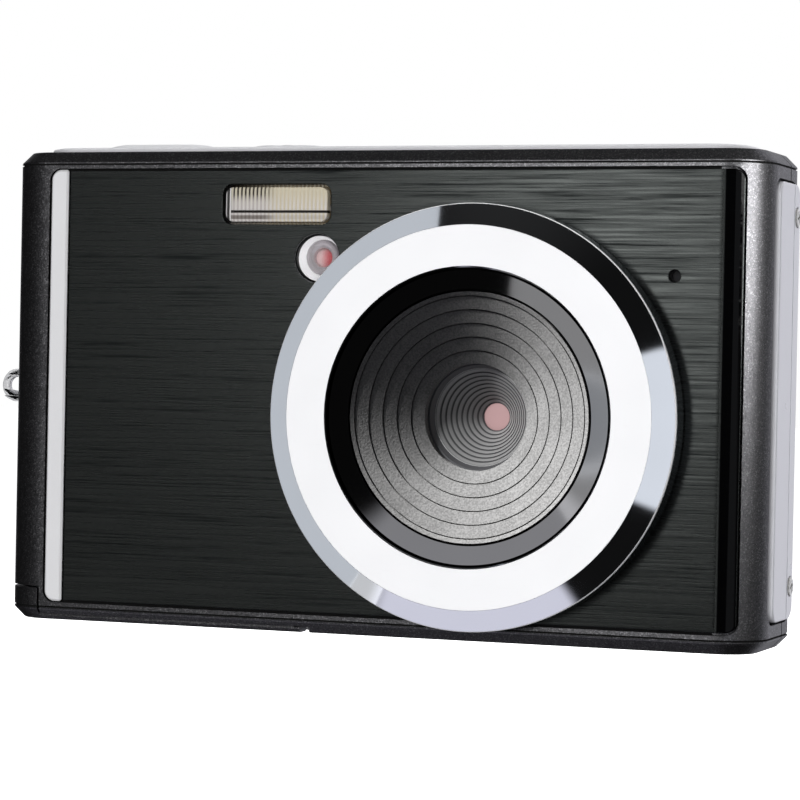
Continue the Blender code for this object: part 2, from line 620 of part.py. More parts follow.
def battery_door():
    door = body_form("battery_door", 0.0, 0.0, HEIGHT, SHELL, CHAMFER)
    clip(door, block("door_extent", (-BIG, -BIG, -BIG), (HINGE_X + HINGE_R + 1, DOOR_REAR_Y, LIP_TOP_Z)))
    cut(door, block("door_rim", (LIP_END_X, -BIG, -1), (BIG, -9.1, BIG)))
    cut(door, block("door_step", (LIP_END_X, -9.5, 0.85), (BIG, -7.9, BIG)))
    hollow = [rounded(1.2 - HALF_WIDTH, 20.0, FRONT_Y + 1.2, 20.0, 4.3)]
    cut(door, plate("door_hollow", hollow, (0, 0, DOOR_T + 5), ALONG_Z, 10.0))
    cut(door, block("door_end", (DOOR_END_X, -BIG, -BIG), (BIG, BIG, BIG)))
    ears = ((-6.9, -5.0), (-0.3, 3.9))
    for i, (y0, y1) in enumerate(ears):
        cut(door, block(f"ear_notch_{i}", (-10.4, y0, -BIG), (BIG, y1, BIG)))
    barrel = drum("door_barrel", (HINGE_X, -2.8, HINGE_Z), ALONG_FRONT, HINGE_R, 4.4, SHELL, steps=24)
    join(door, barrel)
    cut(door, drum("barrel_bore", (HINGE_X, 0, HINGE_Z), ALONG_FRONT, PIN_BORE_R, 20.0, steps=16))

    carriage = block("door_carriage", (-7.0, -6.6, 1.8), (-4.6, 3.6, 2.9), GREY)
    for i, (y0, y1) in enumerate(((-6.6, -5.3), (2.3, 3.6))):
        join(carriage, block(f"ear_arm_{i}", (-9.7, y0, 1.9), (-6.5, y1, 2.9), GREY))
        join(carriage, block(f"ear_{i}", (-9.8, y0 + 0.05, 0.3), (-7.4, y1 - 0.05, 2.8), GREY))
    cut(carriage, drum("ear_bore", (HINGE_X, 0, HINGE_Z), ALONG_FRONT, PIN_BORE_R, 20.0, steps=16))
    pin = drum("door_hinge_pin", (HINGE_X, -1.5, HINGE_Z), ALONG_FRONT, PIN_R, 10.0, STEEL, steps=12)
    spring = door_spring()
    pivot("door_axis", HINGE_X, 0, HINGE_Z, door)
    pivot("carriage_axis", HINGE_X, -1.5, HINGE_Z, carriage, pin, spring)


def door_spring():
    """The torsion coil round the hinge pin that throws the door open."""
    turns, pitch, radius, wire_r, per_turn = 3, 0.62, 0.92, 0.2, 10
    curve = bpy.data.curves.new("door_spring", "CURVE")
    curve.dimensions = "3D"
    curve.bevel_depth = wire_r * MM
    curve.bevel_resolution = 1
    curve.use_fill_caps = True
    spline = curve.splines.new("POLY")
    count = turns * per_turn + 1
    spline.points.add(count - 1)
    for i, point in enumerate(spline.points):
        angle = 2 * math.pi * i / per_turn
        along = pitch * i / per_turn
        point.co = (radius * math.cos(angle) * MM, radius * math.sin(angle) * MM, along * MM, 1.0)
    guide = place("door_spring_guide", curve, at(HINGE_X, 2.05, HINGE_Z) @ ALONG_FRONT, None, cutter=True)
    return from_curve("door_spring", guide, STEEL)


# ---------------------------------------------------------------- base and side fittings
def fittings():
    bush = [
        (0.0, -BUSH_BORE_DEPTH), (BUSH_BORE_R, -BUSH_BORE_DEPTH), (BUSH_BORE_R, 0.0), (BUSH_R, 0.0),
        (BUSH_R, -BUSH_DEPTH), (0.0, -BUSH_DEPTH),
    ]
    turned("tripod_bush", bush, (BUSH_X, BUSH_Y, 0), ALONG_DOWN, BRASS, steps=32, closed=False)

    usb = block("usb_socket", (USB_X - 3.9, USB_Y - 1.45, 0.2), (USB_X + 3.9, USB_Y + 1.45, 5.9), STEEL)
    cut(usb, block("usb_hollow", (USB_X - 3.5, USB_Y - 1.05, -1), (USB_X + 3.5, USB_Y + 1.05, 5.2)))
    join(usb, block("usb_tongue", (USB_X - 2.6, USB_Y - 0.3, 1.0), (USB_X + 2.6, USB_Y + 0.3, 5.5), STEEL))

    outer = (
        [(EYELET_TIP_X + EYELET_R, EYELET_Z - 2.0)]
        + [(-46.9, EYELET_Z - 1.9), (-46.9, EYELET_Z - 3.4), (-45.9, EYELET_Z - 3.4)]
        + [(-45.9, EYELET_Z + 3.4), (-46.9, EYELET_Z + 3.4), (-46.9, EYELET_Z + 1.9)]
        + arc(EYELET_HOLE_X, EYELET_Z, EYELET_R, 100, 260, 12)[:-1]
    )
    hole = arc(EYELET_HOLE_X, EYELET_Z, EYELET_HOLE_R, 0, 360, 16)[:-1]
    plate("strap_eyelet", [outer, hole], (0, EYELET_Y, 0), ALONG_FRONT, 1.0, STEEL)

    screw = [(0.0, 0.0), (0.95, 0.0), (1.1, -0.15), (1.1, -0.45), (0.6, -0.5), (0.6, -4.0), (0.0, -4.3)]
    seats = [
        ("side_screw_right_" + end, (RIGHT_TRIM_X[1] + 0.2, SIDE_SCREW_Y, z), ALONG_X)
        for end, z in RIGHT_SCREW_Z.items()
    ]
    seats += [
        ("side_screw_left_" + end, (LEFT_TRIM_X[0] - 0.2, SIDE_SCREW_Y, z), ALONG_LEFT)
        for end, z in LEFT_SCREW_Z.items()
    ]
    seats += [("base_screw_" + end, (x, BASE_SCREW_Y, 0.05), ALONG_DOWN) for end, x in BASE_SCREW_X.items()]
    for name, head, direction in seats:
        turned(name, screw, head, direction, STEEL, steps=12, closed=False)


# ---------------------------------------------------------------- buttons and keys
def top_buttons():
    shutter = plate(
        "shutter_button", [centred(*SHUTTER_SIZE, 3.7, SHUTTER_X, steps=6)],
        (0, 0, (BUTTON_BASE_Z + SHUTTER_TOP) / 2), ALONG_Z, SHUTTER_TOP - BUTTON_BASE_Z, SILVER,
    )
    round_edges(shutter, 0.5, 3, angle=60)
    flange = [centred(SHUTTER_SIZE[0] + 2.0, SHUTTER_SIZE[1] + 1.8, 4.4, SHUTTER_X, steps=6)]
    join(shutter, plate("shutter_flange", flange, (0, 0, 56.2), ALONG_Z, 1.0, SILVER))
    join(shutter, block("shutter_stem", (SHUTTER_X - 1.2, 1.2, 55.0), (SHUTTER_X + 1.2, 3.2, 56.4), SILVER))
    pivot("shutter_axis", SHUTTER_X, 0, SHUTTER_TOP, shutter)

    power = plate(
        "power_button", [centred(*POWER_SIZE, 2.2, POWER_X, steps=6)],
        (0, 0, (BUTTON_BASE_Z + POWER_TOP) / 2), ALONG_Z, POWER_TOP - BUTTON_BASE_Z, SILVER,
    )
    round_edges(power, 0.3, 2, angle=60)
    flange = [centred(POWER_SIZE[0] + 1.6, POWER_SIZE[1] + 1.6, 3.0, POWER_X, steps=6)]
    join(power, plate("power_flange", flange, (0, 0, 56.25), ALONG_Z, 0.9, SILVER))
    join(power, block("power_stem", (POWER_X - 1.0, 0.9, 54.9), (POWER_X + 1.0, 2.3, 56.3), SILVER))
    pivot("power_axis", POWER_X, 0, POWER_TOP, power)


def rear_key(name, cap_outline, flange_outline, x, z):
    """A key cap that stands out of the rear wall, on a flange that stays behind it."""
    middle = (0, (KEY_BASE_Y + KEY_TOP_Y) / 2, 0)
    cap = plate(name, [cap_outline], middle, ALONG_FRONT, KEY_TOP_Y - KEY_BASE_Y, GREY)
    round_edges(cap, 0.25, 1, angle=50)
    join(cap, plate(name + "_flange", [flange_outline], (0, 7.55, 0), ALONG_FRONT, 1.1, GREY))
    pivot(name + "_axis", x, KEY_TOP_Y, z, cap)


def sector(inner, outer, middle, inset):
    """A quarter of a ring, held inset clear of the lines between quarters."""
    inner_half = 45 - math.degrees(math.asin(inset / inner))
    outer_half = 45 - math.degrees(math.asin(inset / outer))
    return arc(PAD_X, PAD_Z, outer, middle - outer_half, middle + outer_half, 8) + arc(
        PAD_X, PAD_Z, inner, middle + inner_half, middle - inner_half, 5
    )


def rear_keys():
    for name, (x, z) in KEYS.items():
        cap = centred(*KEY_SIZE, 2.1, x, z, steps=4)
        flange = centred(KEY_SIZE[0] + 1.6, KEY_SIZE[1] + 1.6, 2.6, x, z, steps=4)
        rear_key(name, cap, flange, x, z)
    for name, middle in (("right_key", 0), ("up_key", 90), ("left_key", 180), ("down_key", 270)):
        cap = sector(PAD_INNER_R, PAD_R, middle, 0.3)
        flange = sector(PAD_INNER_R, PAD_R + 0.9, middle, 0.2)
        x, z = arc(PAD_X, PAD_Z, 7.8, middle, middle, 1)[0]
        rear_key(name, cap, flange, x, z)
    ring = arc(PAD_X, PAD_Z, OK_R, 0, 360, 24)[:-1]
    rear_key("ok_key", ring, arc(PAD_X, PAD_Z, OK_R - 0.1, 0, 360, 24)[:-1], PAD_X, PAD_Z)

    rocker = plate(
        "zoom_rocker", [centred(*ROCKER_SIZE, 2.5, PAD_X, ROCKER_Z)], (0, 9.1, 0), ALONG_FRONT, 3.6, GREY
    )
    round_edges(rocker, 0.4, 1, angle=50)
    flange = [centred(ROCKER_SIZE[0] + 1.6, ROCKER_SIZE[1] + 1.6, 2.8, PAD_X, ROCKER_Z)]
    join(rocker, plate("rocker_flange", flange, (0, 7.25, 0), ALONG_FRONT, 0.7, GREY))
    pivot("rocker_axis", PAD_X, ROCKER_AXIS_Y, ROCKER_Z, rocker)


front_shell()
rear_shell()
front_plate()
silver_strip()
trims()
lens_group()
flash_group()
boards()
battery_bay()
battery_door()
fittings()
top_buttons()
rear_keys()
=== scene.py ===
"""Fine surfaces, materials and studio for the compact digital camera.

Sizes are in millimetres in the camera's own frame (front = -Y, up = +Z) and are
turned into metres by MM.
"""

import math

import bmesh
import bpy
from mathutils import Matrix, Vector


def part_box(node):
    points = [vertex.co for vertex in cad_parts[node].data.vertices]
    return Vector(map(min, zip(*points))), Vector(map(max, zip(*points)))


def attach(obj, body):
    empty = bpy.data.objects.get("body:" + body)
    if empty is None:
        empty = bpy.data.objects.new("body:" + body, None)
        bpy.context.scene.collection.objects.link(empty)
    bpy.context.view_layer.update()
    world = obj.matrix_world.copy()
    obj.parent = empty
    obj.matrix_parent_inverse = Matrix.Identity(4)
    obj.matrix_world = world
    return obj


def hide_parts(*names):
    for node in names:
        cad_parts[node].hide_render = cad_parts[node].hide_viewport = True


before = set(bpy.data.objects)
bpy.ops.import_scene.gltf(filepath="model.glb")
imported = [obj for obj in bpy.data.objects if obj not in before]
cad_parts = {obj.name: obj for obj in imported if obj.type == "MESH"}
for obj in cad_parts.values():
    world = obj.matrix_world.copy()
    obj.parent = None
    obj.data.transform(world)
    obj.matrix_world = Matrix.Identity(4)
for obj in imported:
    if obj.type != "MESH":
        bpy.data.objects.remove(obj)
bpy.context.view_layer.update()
scene = bpy.context.scene

MM = 0.001
BIG = 80.0
GAP = 0.3
CHAMFER = 1.35
CORNER_R = 5.5
WALL = 1.5
# the fine groove beside each sloped rim
GROOVE_RISE = 0.16
GROOVE_W = 0.24
GROOVE_DEPTH = 0.2
# the battery door: its lip, its thickness, and its inner end with room to swing
LIP_END_X = -43.5
LIP_TOP_Z = 3.9
DOOR_T = 1.6
SWING_X = -7.1
DOOR_END_X = -8.3


def box(node):
    """Lowest and highest corner of a CAD node in millimetres."""
    low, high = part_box(node)
    return low / MM, high / MM


def middle_of(node):
    low, high = box(node)
    return (low + high) / 2


shell_low, shell_high = box("front_shell")
HALF_WIDTH, HEIGHT, FRONT_Y = shell_high.x, shell_high.z, shell_low.y
SEAM_Y = box("rear_shell")[0].y
REAR_Y = box("rear_shell")[1].y
ring_middle = middle_of("lens_ring")
LENS_X, LENS_Z = ring_middle.x, ring_middle.z
RING_R = (box("lens_ring")[1].x - box("lens_ring")[0].x) / 2
strip_low, strip_high = box("silver_strip")
plate_low, plate_high = box("front_plate")
PLATE_X = (strip_low.x, plate_high.x)
PLATE_Z = (plate_low.z, plate_high.z)
flash_middle = middle_of("flash_window")
FLASH_X, FLASH_Z = flash_middle.x, flash_middle.z
flash_size = box("flash_window")[1] - box("flash_window")[0]
lamp_middle = middle_of("timer_lamp_lens")
LAMP_X, LAMP_Z = lamp_middle.x, lamp_middle.z
mic_middle = middle_of("microphone")
DOOR_REAR_Y = box("battery_door")[1].y
pin_middle = middle_of("door_hinge_pin")
bush_middle = middle_of("tripod_bush")
usb_low, usb_high = box("usb_socket")
pad_middle = middle_of("ok_key")

FLASH_RIBS_PER_MM = 1.95
# the stepped hood behind the cone: its radii and the number of its steps
HOOD_RINGS = (1.65, 5.75)
HOOD_STEPS = 9
HOOD_PITCH = (HOOD_RINGS[1] - HOOD_RINGS[0]) / HOOD_STEPS

# local Z of a turned or flat piece, turned onto a body axis
ALONG_Z = Matrix.Identity(4)
ALONG_FRONT = Matrix.Rotation(math.radians(90), 4, "X")
ALONG_X = Matrix(((0, 0, 1, 0), (1, 0, 0, 0), (0, 1, 0, 0), (0, 0, 0, 1)))
ALONG_LEFT = Matrix.Rotation(math.pi, 4, "Z") @ ALONG_X
ALONG_DOWN = Matrix.Rotation(math.pi, 4, "X")


# ---------------- viewpoint
LENS_MM = 136.3
LOOK_AT = Vector((3.7, -7.8, 28.5))
AZIMUTH, ELEVATION, ROLL = 20.52, 0.62, 1.154
DISTANCE = 364.32

az, el, roll = (math.radians(a) for a in (AZIMUTH, ELEVATION, ROLL))
away = Vector((math.sin(az) * math.cos(el), -math.cos(az) * math.cos(el), math.sin(el)))
level_right = Vector((math.cos(az), math.sin(az), 0.0))
level_up = away.cross(level_right)
right = level_right * math.cos(roll) + level_up * math.sin(roll)
up = level_up * math.cos(roll) - level_right * math.sin(roll)
eye = (LOOK_AT + away * DISTANCE) * MM
camera_data = bpy.data.cameras.new("camera")
camera_data.lens = LENS_MM
camera_data.sensor_width = 36.0
camera_data.clip_start = 0.01
camera_data.clip_end = 20.0
camera = bpy.data.objects.new("camera", camera_data)
scene.collection.objects.link(camera)
camera.matrix_world = Matrix(
    (
        (right.x, up.x, away.x, eye.x),
        (right.y, up.y, away.y, eye.y),
        (right.z, up.z, away.z, eye.z),
        (0, 0, 0, 1),
    )
)
scene.camera = camera


# ---------------- node helpers
class Nodes:
    """Short ways to build a node tree."""

    def __init__(self, tree):
        self.tree = tree

    def add(self, kind, **settings):
        node = self.tree.nodes.new(kind)
        for key, value in settings.items():
            setattr(node, key, value)
        return node

    def feed(self, socket, value):
        if isinstance(value, bpy.types.NodeSocket):
            self.tree.links.new(value, socket)
        else:
            socket.default_value = value

    def maths(self, operation, *values, kind="ShaderNodeMath"):
        node = self.add(kind, operation=operation)
        for socket, value in zip(node.inputs, values):
            self.feed(socket, value)
        return node.outputs[0]

    def plus(self, first, second):
        return self.maths("ADD", first, second)

    def minus(self, first, second):
        return self.maths("SUBTRACT", first, second)

    def times(self, first, second):
        return self.maths("MULTIPLY", first, second)

    def vector(self, operation, *values):
        return self.maths(operation, *values, kind="ShaderNodeVectorMath")

    def xyz(self, vector):
        node = self.add("ShaderNodeSeparateXYZ")
        self.feed(node.inputs[0], vector)
        return node.outputs[0], node.outputs[1], node.outputs[2]

    def scaled(self, vector, factor):
        node = self.add("ShaderNodeVectorMath", operation="SCALE")
        self.feed(node.inputs[0], vector)
        self.feed(node.inputs["Scale"], factor)
        return node.outputs[0]

    def ramp(self, value, *stops, smooth=True):
        """A black to white curve of (position, level) stops."""
        node = self.add("ShaderNodeValToRGB")
        node.color_ramp.interpolation = "EASE" if smooth else "LINEAR"
        points = node.color_ramp.elements
        while len(points) < len(stops):
            points.new(0.5)
        for point, (position, level) in zip(points, stops):
            point.position = position
            colour = level if isinstance(level, tuple) else (level, level, level)
            point.color = (*colour, 1.0)
        self.feed(node.inputs[0], value)
        return node.outputs[0]

    def mix(self, factor, first, second):
        node = self.add("ShaderNodeMix", data_type="RGBA")
        self.feed(node.inputs[0], factor)
        for socket, value in ((node.inputs[6], first), (node.inputs[7], second)):
            self.feed(socket, (*value, 1.0) if isinstance(value, tuple) else value)
        return node.outputs[2]

    def smooth(self, value, low, high):
        """0 below low, 1 above high, and smooth between them."""
        node = self.add("ShaderNodeMapRange", interpolation_type="SMOOTHSTEP")
        self.feed(node.inputs[0], value)
        node.inputs[1].default_value = low
        node.inputs[2].default_value = high
        return node.outputs[0]

    def window(self, value, low, high, soft_low, soft_high):
        """1 between low and high, with soft edges outside them."""
        rise = self.smooth(value, low - soft_low, low)
        fall = self.smooth(value, high, high + soft_high)
        return self.times(rise, self.minus(1.0, fall))


class Look(Nodes):
    """One material: a Principled shader with its detail built from nodes."""

    def __init__(self, name, colour, roughness, metallic=0.0, **sockets):
        self.material = bpy.data.materials.new(name)
        self.material.use_nodes = True
        super().__init__(self.material.node_tree)
        self.shader = self.tree.nodes["Principled BSDF"]
        self.colour = colour
        self.set("Base Color", (*colour, 1.0))
        self.set("Roughness", roughness)
        self.set("Metallic", metallic)
        for key, value in sockets.items():
            self.set(key.replace("_", " "), value)
        self.place = self.add("ShaderNodeTexCoord").outputs["Object"]

    def set(self, socket, value):
        self.feed(self.shader.inputs[socket], value)

    def at(self, x=1.0, y=1.0, z=1.0):
        """Object coordinates, multiplied along each axis (per millimetre)."""
        node = self.add("ShaderNodeMapping")
        node.inputs["Scale"].default_value = (x / MM, y / MM, z / MM)
        self.feed(node.inputs["Vector"], self.place)
        return node.outputs[0]

    def noise(self, x, y=None, z=None, detail=2.0, rough=0.5):
        node = self.add("ShaderNodeTexNoise")
        scale = [x if axis is None else axis for axis in (x, y, z)]
        self.feed(node.inputs["Vector"], self.at(*scale))
        node.inputs["Scale"].default_value = 1.0
        node.inputs["Detail"].default_value = detail
        node.inputs["Roughness"].default_value = rough
        return node.outputs["Fac"]

    def cells(self, per_mm, output="Color"):
        node = self.add("ShaderNodeTexVoronoi")
        self.feed(node.inputs["Vector"], self.at(per_mm, per_mm, per_mm))
        node.inputs["Scale"].default_value = 1.0
        return node.outputs[output]

    def bump(self, height, strength, depth):
        """Raises the surface by height; depth is in millimetres."""
        node = self.add("ShaderNodeBump")
        node.inputs["Strength"].default_value = strength
        node.inputs["Distance"].default_value = depth * MM
        self.feed(node.inputs["Height"], height)
        self.set("Normal", node.outputs[0])

    def rise(self, place, low, high):
        """0 below low and 1 above high, which are in millimetres."""
        return self.smooth(place, low * MM, high * MM)

    def stripe(self, place, *limits):
        """A window whose limits and soft edges are in millimetres."""
        return self.window(place, *(limit * MM for limit in limits))

    def vary(self, factor, low, high):
        self.set("Base Color", self.mix(factor, low, high))

    def vary_roughness(self, factor, low, high):
        self.set("Roughness", self.maths("MULTIPLY_ADD", factor, high - low, low))


def shade(colour, factor):
    return tuple(min(1.0, c * factor) for c in colour)


# ---------------- materials
def painted(name, colour, per_mm=8.0, roughness=0.4):
    """Metallic paint: fine flakes that differ a little in tone and tilt."""
    look = Look(name, colour, roughness, 0.97, Specular_IOR_Level=0.3)
    random = look.cells(per_mm)
    split = look.add("ShaderNodeSeparateColor")
    look.feed(split.inputs[0], random)
    levels = ((0.0, 0.25), (0.5, 0.36), (0.86, 0.45), (0.97, 0.75))
    sparkle = look.ramp(split.outputs[0], *levels, smooth=False)
    cloud = look.noise(0.35, detail=1.0)
    tone = look.mix(cloud, shade(colour, 0.9), shade(colour, 1.1))
    look.set("Base Color", look.vector("MULTIPLY", tone, sparkle))
    tilt = look.scaled(look.vector("SUBTRACT", random, (0.5, 0.5, 0.5)), 0.1)
    normal = look.vector("ADD", look.add("ShaderNodeNewGeometry").outputs["Normal"], tilt)
    look.set("Normal", look.vector("NORMALIZE", normal))
    return look


def brushed(name, dark, light, roughness, gloss_from):
    """Metal brushed along X; beyond gloss_from (x) it turns gloss black."""
    look = Look(name, light, roughness, 1.0, Anisotropic=0.35)
    hair = look.noise(0.07, 1.0, 3.4, detail=3.0, rough=0.65)
    band = look.noise(0.02, 0.5, 1.5, detail=2.0)
    grain = look.plus(look.times(hair, 0.7), look.times(band, 0.3))
    lines = look.ramp(grain, (0.36, 0.0), (0.47, 0.62), (0.64, 1.0))
    x, _, _ = look.xyz(look.place)
    gloss = look.stripe(x, gloss_from + 0.25, plate_high.x - 0.12, 0.4, 0.05)
    look.vary(gloss, look.mix(lines, dark, light), (0.0006, 0.0006, 0.0007))
    rough = look.maths("MULTIPLY_ADD", lines, -0.2, roughness + 0.1)
    look.set("Roughness", look.plus(rough, look.times(gloss, 0.08 - roughness)))
    look.set("Metallic", look.minus(1.0, gloss))
    look.set("Specular IOR Level", look.maths("MULTIPLY_ADD", gloss, -0.42, 0.5))
    look.bump(look.times(lines, look.minus(1.0, gloss)), 0.35, 0.012)
    return look


def grained(name, colour, roughness, per_mm=9.0, depth=0.012, metallic=0.0, tone=0.12, **sockets):
    """A moulded or cast surface with a fine even grain and slight cloudiness."""
    look = Look(name, colour, roughness, metallic, **sockets)
    fine = look.noise(per_mm, detail=2.0)
    cloud = look.noise(0.25, detail=2.0)
    mixed = look.plus(look.times(fine, 0.75), look.times(cloud, 0.25))
    spread = look.ramp(mixed, (0.32, 0.0), (0.68, 1.0))
    look.vary(spread, shade(colour, 1 - tone), shade(colour, 1 + tone))
    look.vary_roughness(cloud, max(0.02, roughness - 0.06), roughness + 0.06)
    look.bump(fine, 0.4, depth)
    return look


def polished(name, colour, roughness, metallic=1.0, **sockets):
    """A bright surface with faint waviness and fine wear marks."""
    look = Look(name, colour, roughness, metallic, **sockets)
    wave = look.noise(0.12, detail=1.0)
    marks = look.noise(0.6, 0.6, 14.0, detail=3.0)
    look.vary(wave, shade(colour, 0.96), shade(colour, 1.04))
    look.vary_roughness(marks, roughness * 0.7, roughness * 1.4)
    look.bump(wave, 0.05, 0.02)
    return look


def ringed(name):
    """Matte black with painted shade: a darker line in the groove at the foot of each step of the
    hood, and a darker wall outside the steps.
    """
    look = Look(name, (0.24, 0.24, 0.24), 0.5, Specular_IOR_Level=0.3)
    x, _, z = look.xyz(look.place)
    dx, dz = look.minus(x, LENS_X * MM), look.minus(z, LENS_Z * MM)
    radius = look.maths("SQRT", look.plus(look.times(dx, dx), look.times(dz, dz)))
    steps = look.maths("DIVIDE", look.minus(radius, HOOD_RINGS[0] * MM), HOOD_PITCH * MM)
    # painted shade: a dark line in the groove at the foot of each step
    levels = ((0.0, 1.0), (0.2, 0.9), (0.42, 0.0), (0.86, 0.0), (1.0, 1.0))
    line = look.ramp(look.maths("FRACT", steps), *levels)
    line = look.times(line, look.maths("LESS_THAN", radius, HOOD_RINGS[1] * MM))
    grain = look.noise(6.0, detail=2.0)
    bright = look.mix(grain, (0.25, 0.25, 0.25), (0.31, 0.31, 0.31))
    # painted shade: the wall outside the steps is darker
    outer = look.maths("GREATER_THAN", radius, (HOOD_RINGS[1] + 0.1) * MM)
    bright = look.mix(outer, bright, (0.09, 0.09, 0.095))
    look.vary(line, bright, (0.055, 0.055, 0.058))
    look.bump(grain, 0.3, 0.02)
    return look


def speckled_board(name):
    """Green solder mask with copper tracks and pads under it."""
    look = Look(name, (0.02, 0.16, 0.07), 0.35, Coat_Weight=0.3)
    tracks = look.noise(0.9, 0.2, 0.9, detail=0.0)
    line = look.ramp(tracks, (0.47, 0.0), (0.5, 1.0), (0.53, 0.0))
    cell = look.cells(0.8, "Distance")
    pad = look.ramp(cell, (0.10, 1.0), (0.14, 0.0))
    green = look.mix(line, (0.012, 0.13, 0.05), (0.03, 0.22, 0.09))
    look.vary(pad, green, (0.7, 0.6, 0.35))
    look.set("Metallic", look.times(pad, 0.9))
    look.bump(line, 0.3, 0.03)
    return look


def upright_ribs(look):
    """0 in the grooves and 1 on the crests of fine upright ribs, then X and Z."""
    x, _, z = look.xyz(look.place)
    wave = look.maths("SINE", look.times(x, 2 * math.pi * FLASH_RIBS_PER_MM / MM))
    return look.smooth(wave, -0.7, 0.6), x, z


def flash_metal():
    """Warm plated metal with painted shade: darker in the rib grooves, and dark at the far end,
    darkest towards its top.
    """
    look = Look("plated_reflector", (0.85, 0.74, 0.56), 0.24, 0.5)
    rib, across, tall = upright_ribs(look)
    # painted shade: the far end is dark, darkest at its top, and the rib grooves are darker than
    # the crests
    near = look.rise(across, FLASH_X - 6.5, FLASH_X + 1.0)
    low = look.rise(tall, FLASH_Z + 2.2, FLASH_Z - 0.2)
    pale = look.mix(rib, (0.62, 0.53, 0.38), (0.88, 0.80, 0.64))
    painted_far_shade = look.mix(low, (0.05, 0.04, 0.03), (0.45, 0.42, 0.38))
    look.vary(near, painted_far_shade, pale)
    look.vary_roughness(rib, 0.3, 0.2)
    return look


def flash_clear():
    """Clear plastic with upright ribs moulded into it, with painted light: painted highlights on
    the rib crests, painted shade in the upper grooves, the lit reflector's warm colour painted
    into the grooves on the right, a painted shadow line under the tube, a band of painted shade
    below it, and a far end in painted shade with painted highlight streaks.
    """
    look = Look("ribbed_clear", (0.97, 0.94, 0.88), 0.12, Specular_IOR_Level=0.4)
    rib, across, tall = upright_ribs(look)
    near = look.rise(across, FLASH_X - 2.0, FLASH_X + 0.3)
    # painted shade: the grooves darken towards the top; on the right they take the warm colour of
    # the lit reflector behind, painted in
    high = look.rise(tall, FLASH_Z + 0.1, FLASH_Z + 1.5)
    groove = look.mix(high, (0.50, 0.46, 0.44), (0.02, 0.014, 0.012))
    groove = look.mix(near, groove, (0.62, 0.55, 0.41))
    # painted highlights: the rib crests are near white, warmer towards the top
    upper = look.rise(tall, FLASH_Z - 0.6, FLASH_Z + 1.8)
    crest = look.mix(upper, (0.98, 0.94, 0.90), (0.92, 0.85, 0.66))
    colour = look.mix(rib, groove, crest)
    # painted shadow: seam is a dark line painted just under the flash tube; below it a band of
    # painted shade, stronger at the far end
    seam = look.stripe(tall, FLASH_Z - 1.0, FLASH_Z - 0.76, 0.08, 0.08)
    painted_low_shade = look.stripe(tall, FLASH_Z - 1.72, FLASH_Z - 1.4, 0.15, 0.15)
    painted_low_shade = look.times(painted_low_shade, look.minus(0.85, look.times(near, 0.6)))
    colour = look.mix(seam, colour, (0.012, 0.010, 0.009))
    colour = look.mix(painted_low_shade, colour, (0.12, 0.10, 0.085))
    # the far end: painted shade with two painted highlight streaks
    end = look.rise(across, FLASH_X - 5.9, FLASH_X - 6.0)
    painted_streak_highlight = look.stripe(across, FLASH_X - 6.85, FLASH_X - 6.6, 0.2, 0.2)
    edge = look.stripe(across, FLASH_X - 6.1, FLASH_X - 6.0, 0.05, 0.1)
    bright = look.maths("MAXIMUM", look.times(painted_streak_highlight, 0.7), edge)
    look.vary(end, colour, look.mix(bright, (0.03, 0.028, 0.027), (0.75, 0.73, 0.72)))
    # the painted shade and highlights are made nearly opaque
    body = look.maths("MULTIPLY_ADD", look.minus(1.0, rib), 0.3, 0.5)
    for part in (seam, painted_low_shade, end):
        body = look.maths("MAXIMUM", body, look.times(part, 0.92))
    look.set("Alpha", body)
    look.bump(rib, 0.5, 0.12)
    return look


def led_look():
    """Red epoxy whose domed tip is paler pink on its left side, a painted sheen, and saturated red
    on its right.
    """
    look = Look("red_epoxy", (0.7, 0.06, 0.08), 0.2, Coat_Weight=0.5)
    # painted sheen: the tip is pale pink on the left and red on the right
    side = look.rise(look.xyz(look.place)[0], LAMP_X - 0.2, LAMP_X + 1.1)
    cloud = look.noise(0.8, detail=1.0)
    pale = look.mix(cloud, (0.56, 0.34, 0.35), (0.68, 0.46, 0.46))
    look.vary(side, pale, (0.52, 0.012, 0.03))
    return look


def screen_look():
    """Dark display glass whose active area is a shade lighter than its border."""
    look = Look("display_glass", (0.006, 0.006, 0.008), 0.05, Coat_Weight=0.5)
    low, high = box("lcd_window")
    x, _, z = look.xyz(look.place)
    inside_x = look.stripe(x, low.x + 2.9, high.x - 2.9, 0.12, 0.12)
    inside_z = look.stripe(z, low.z + 3.6, high.z - 3.6, 0.12, 0.12)
    smear = look.noise(0.05, detail=2.0)
    active = look.mix(smear, (0.022, 0.024, 0.03), (0.03, 0.032, 0.04))
    look.vary(look.times(inside_x, inside_z), (0.006, 0.006, 0.008), active)
    look.vary_roughness(smear, 0.04, 0.10)
    return look


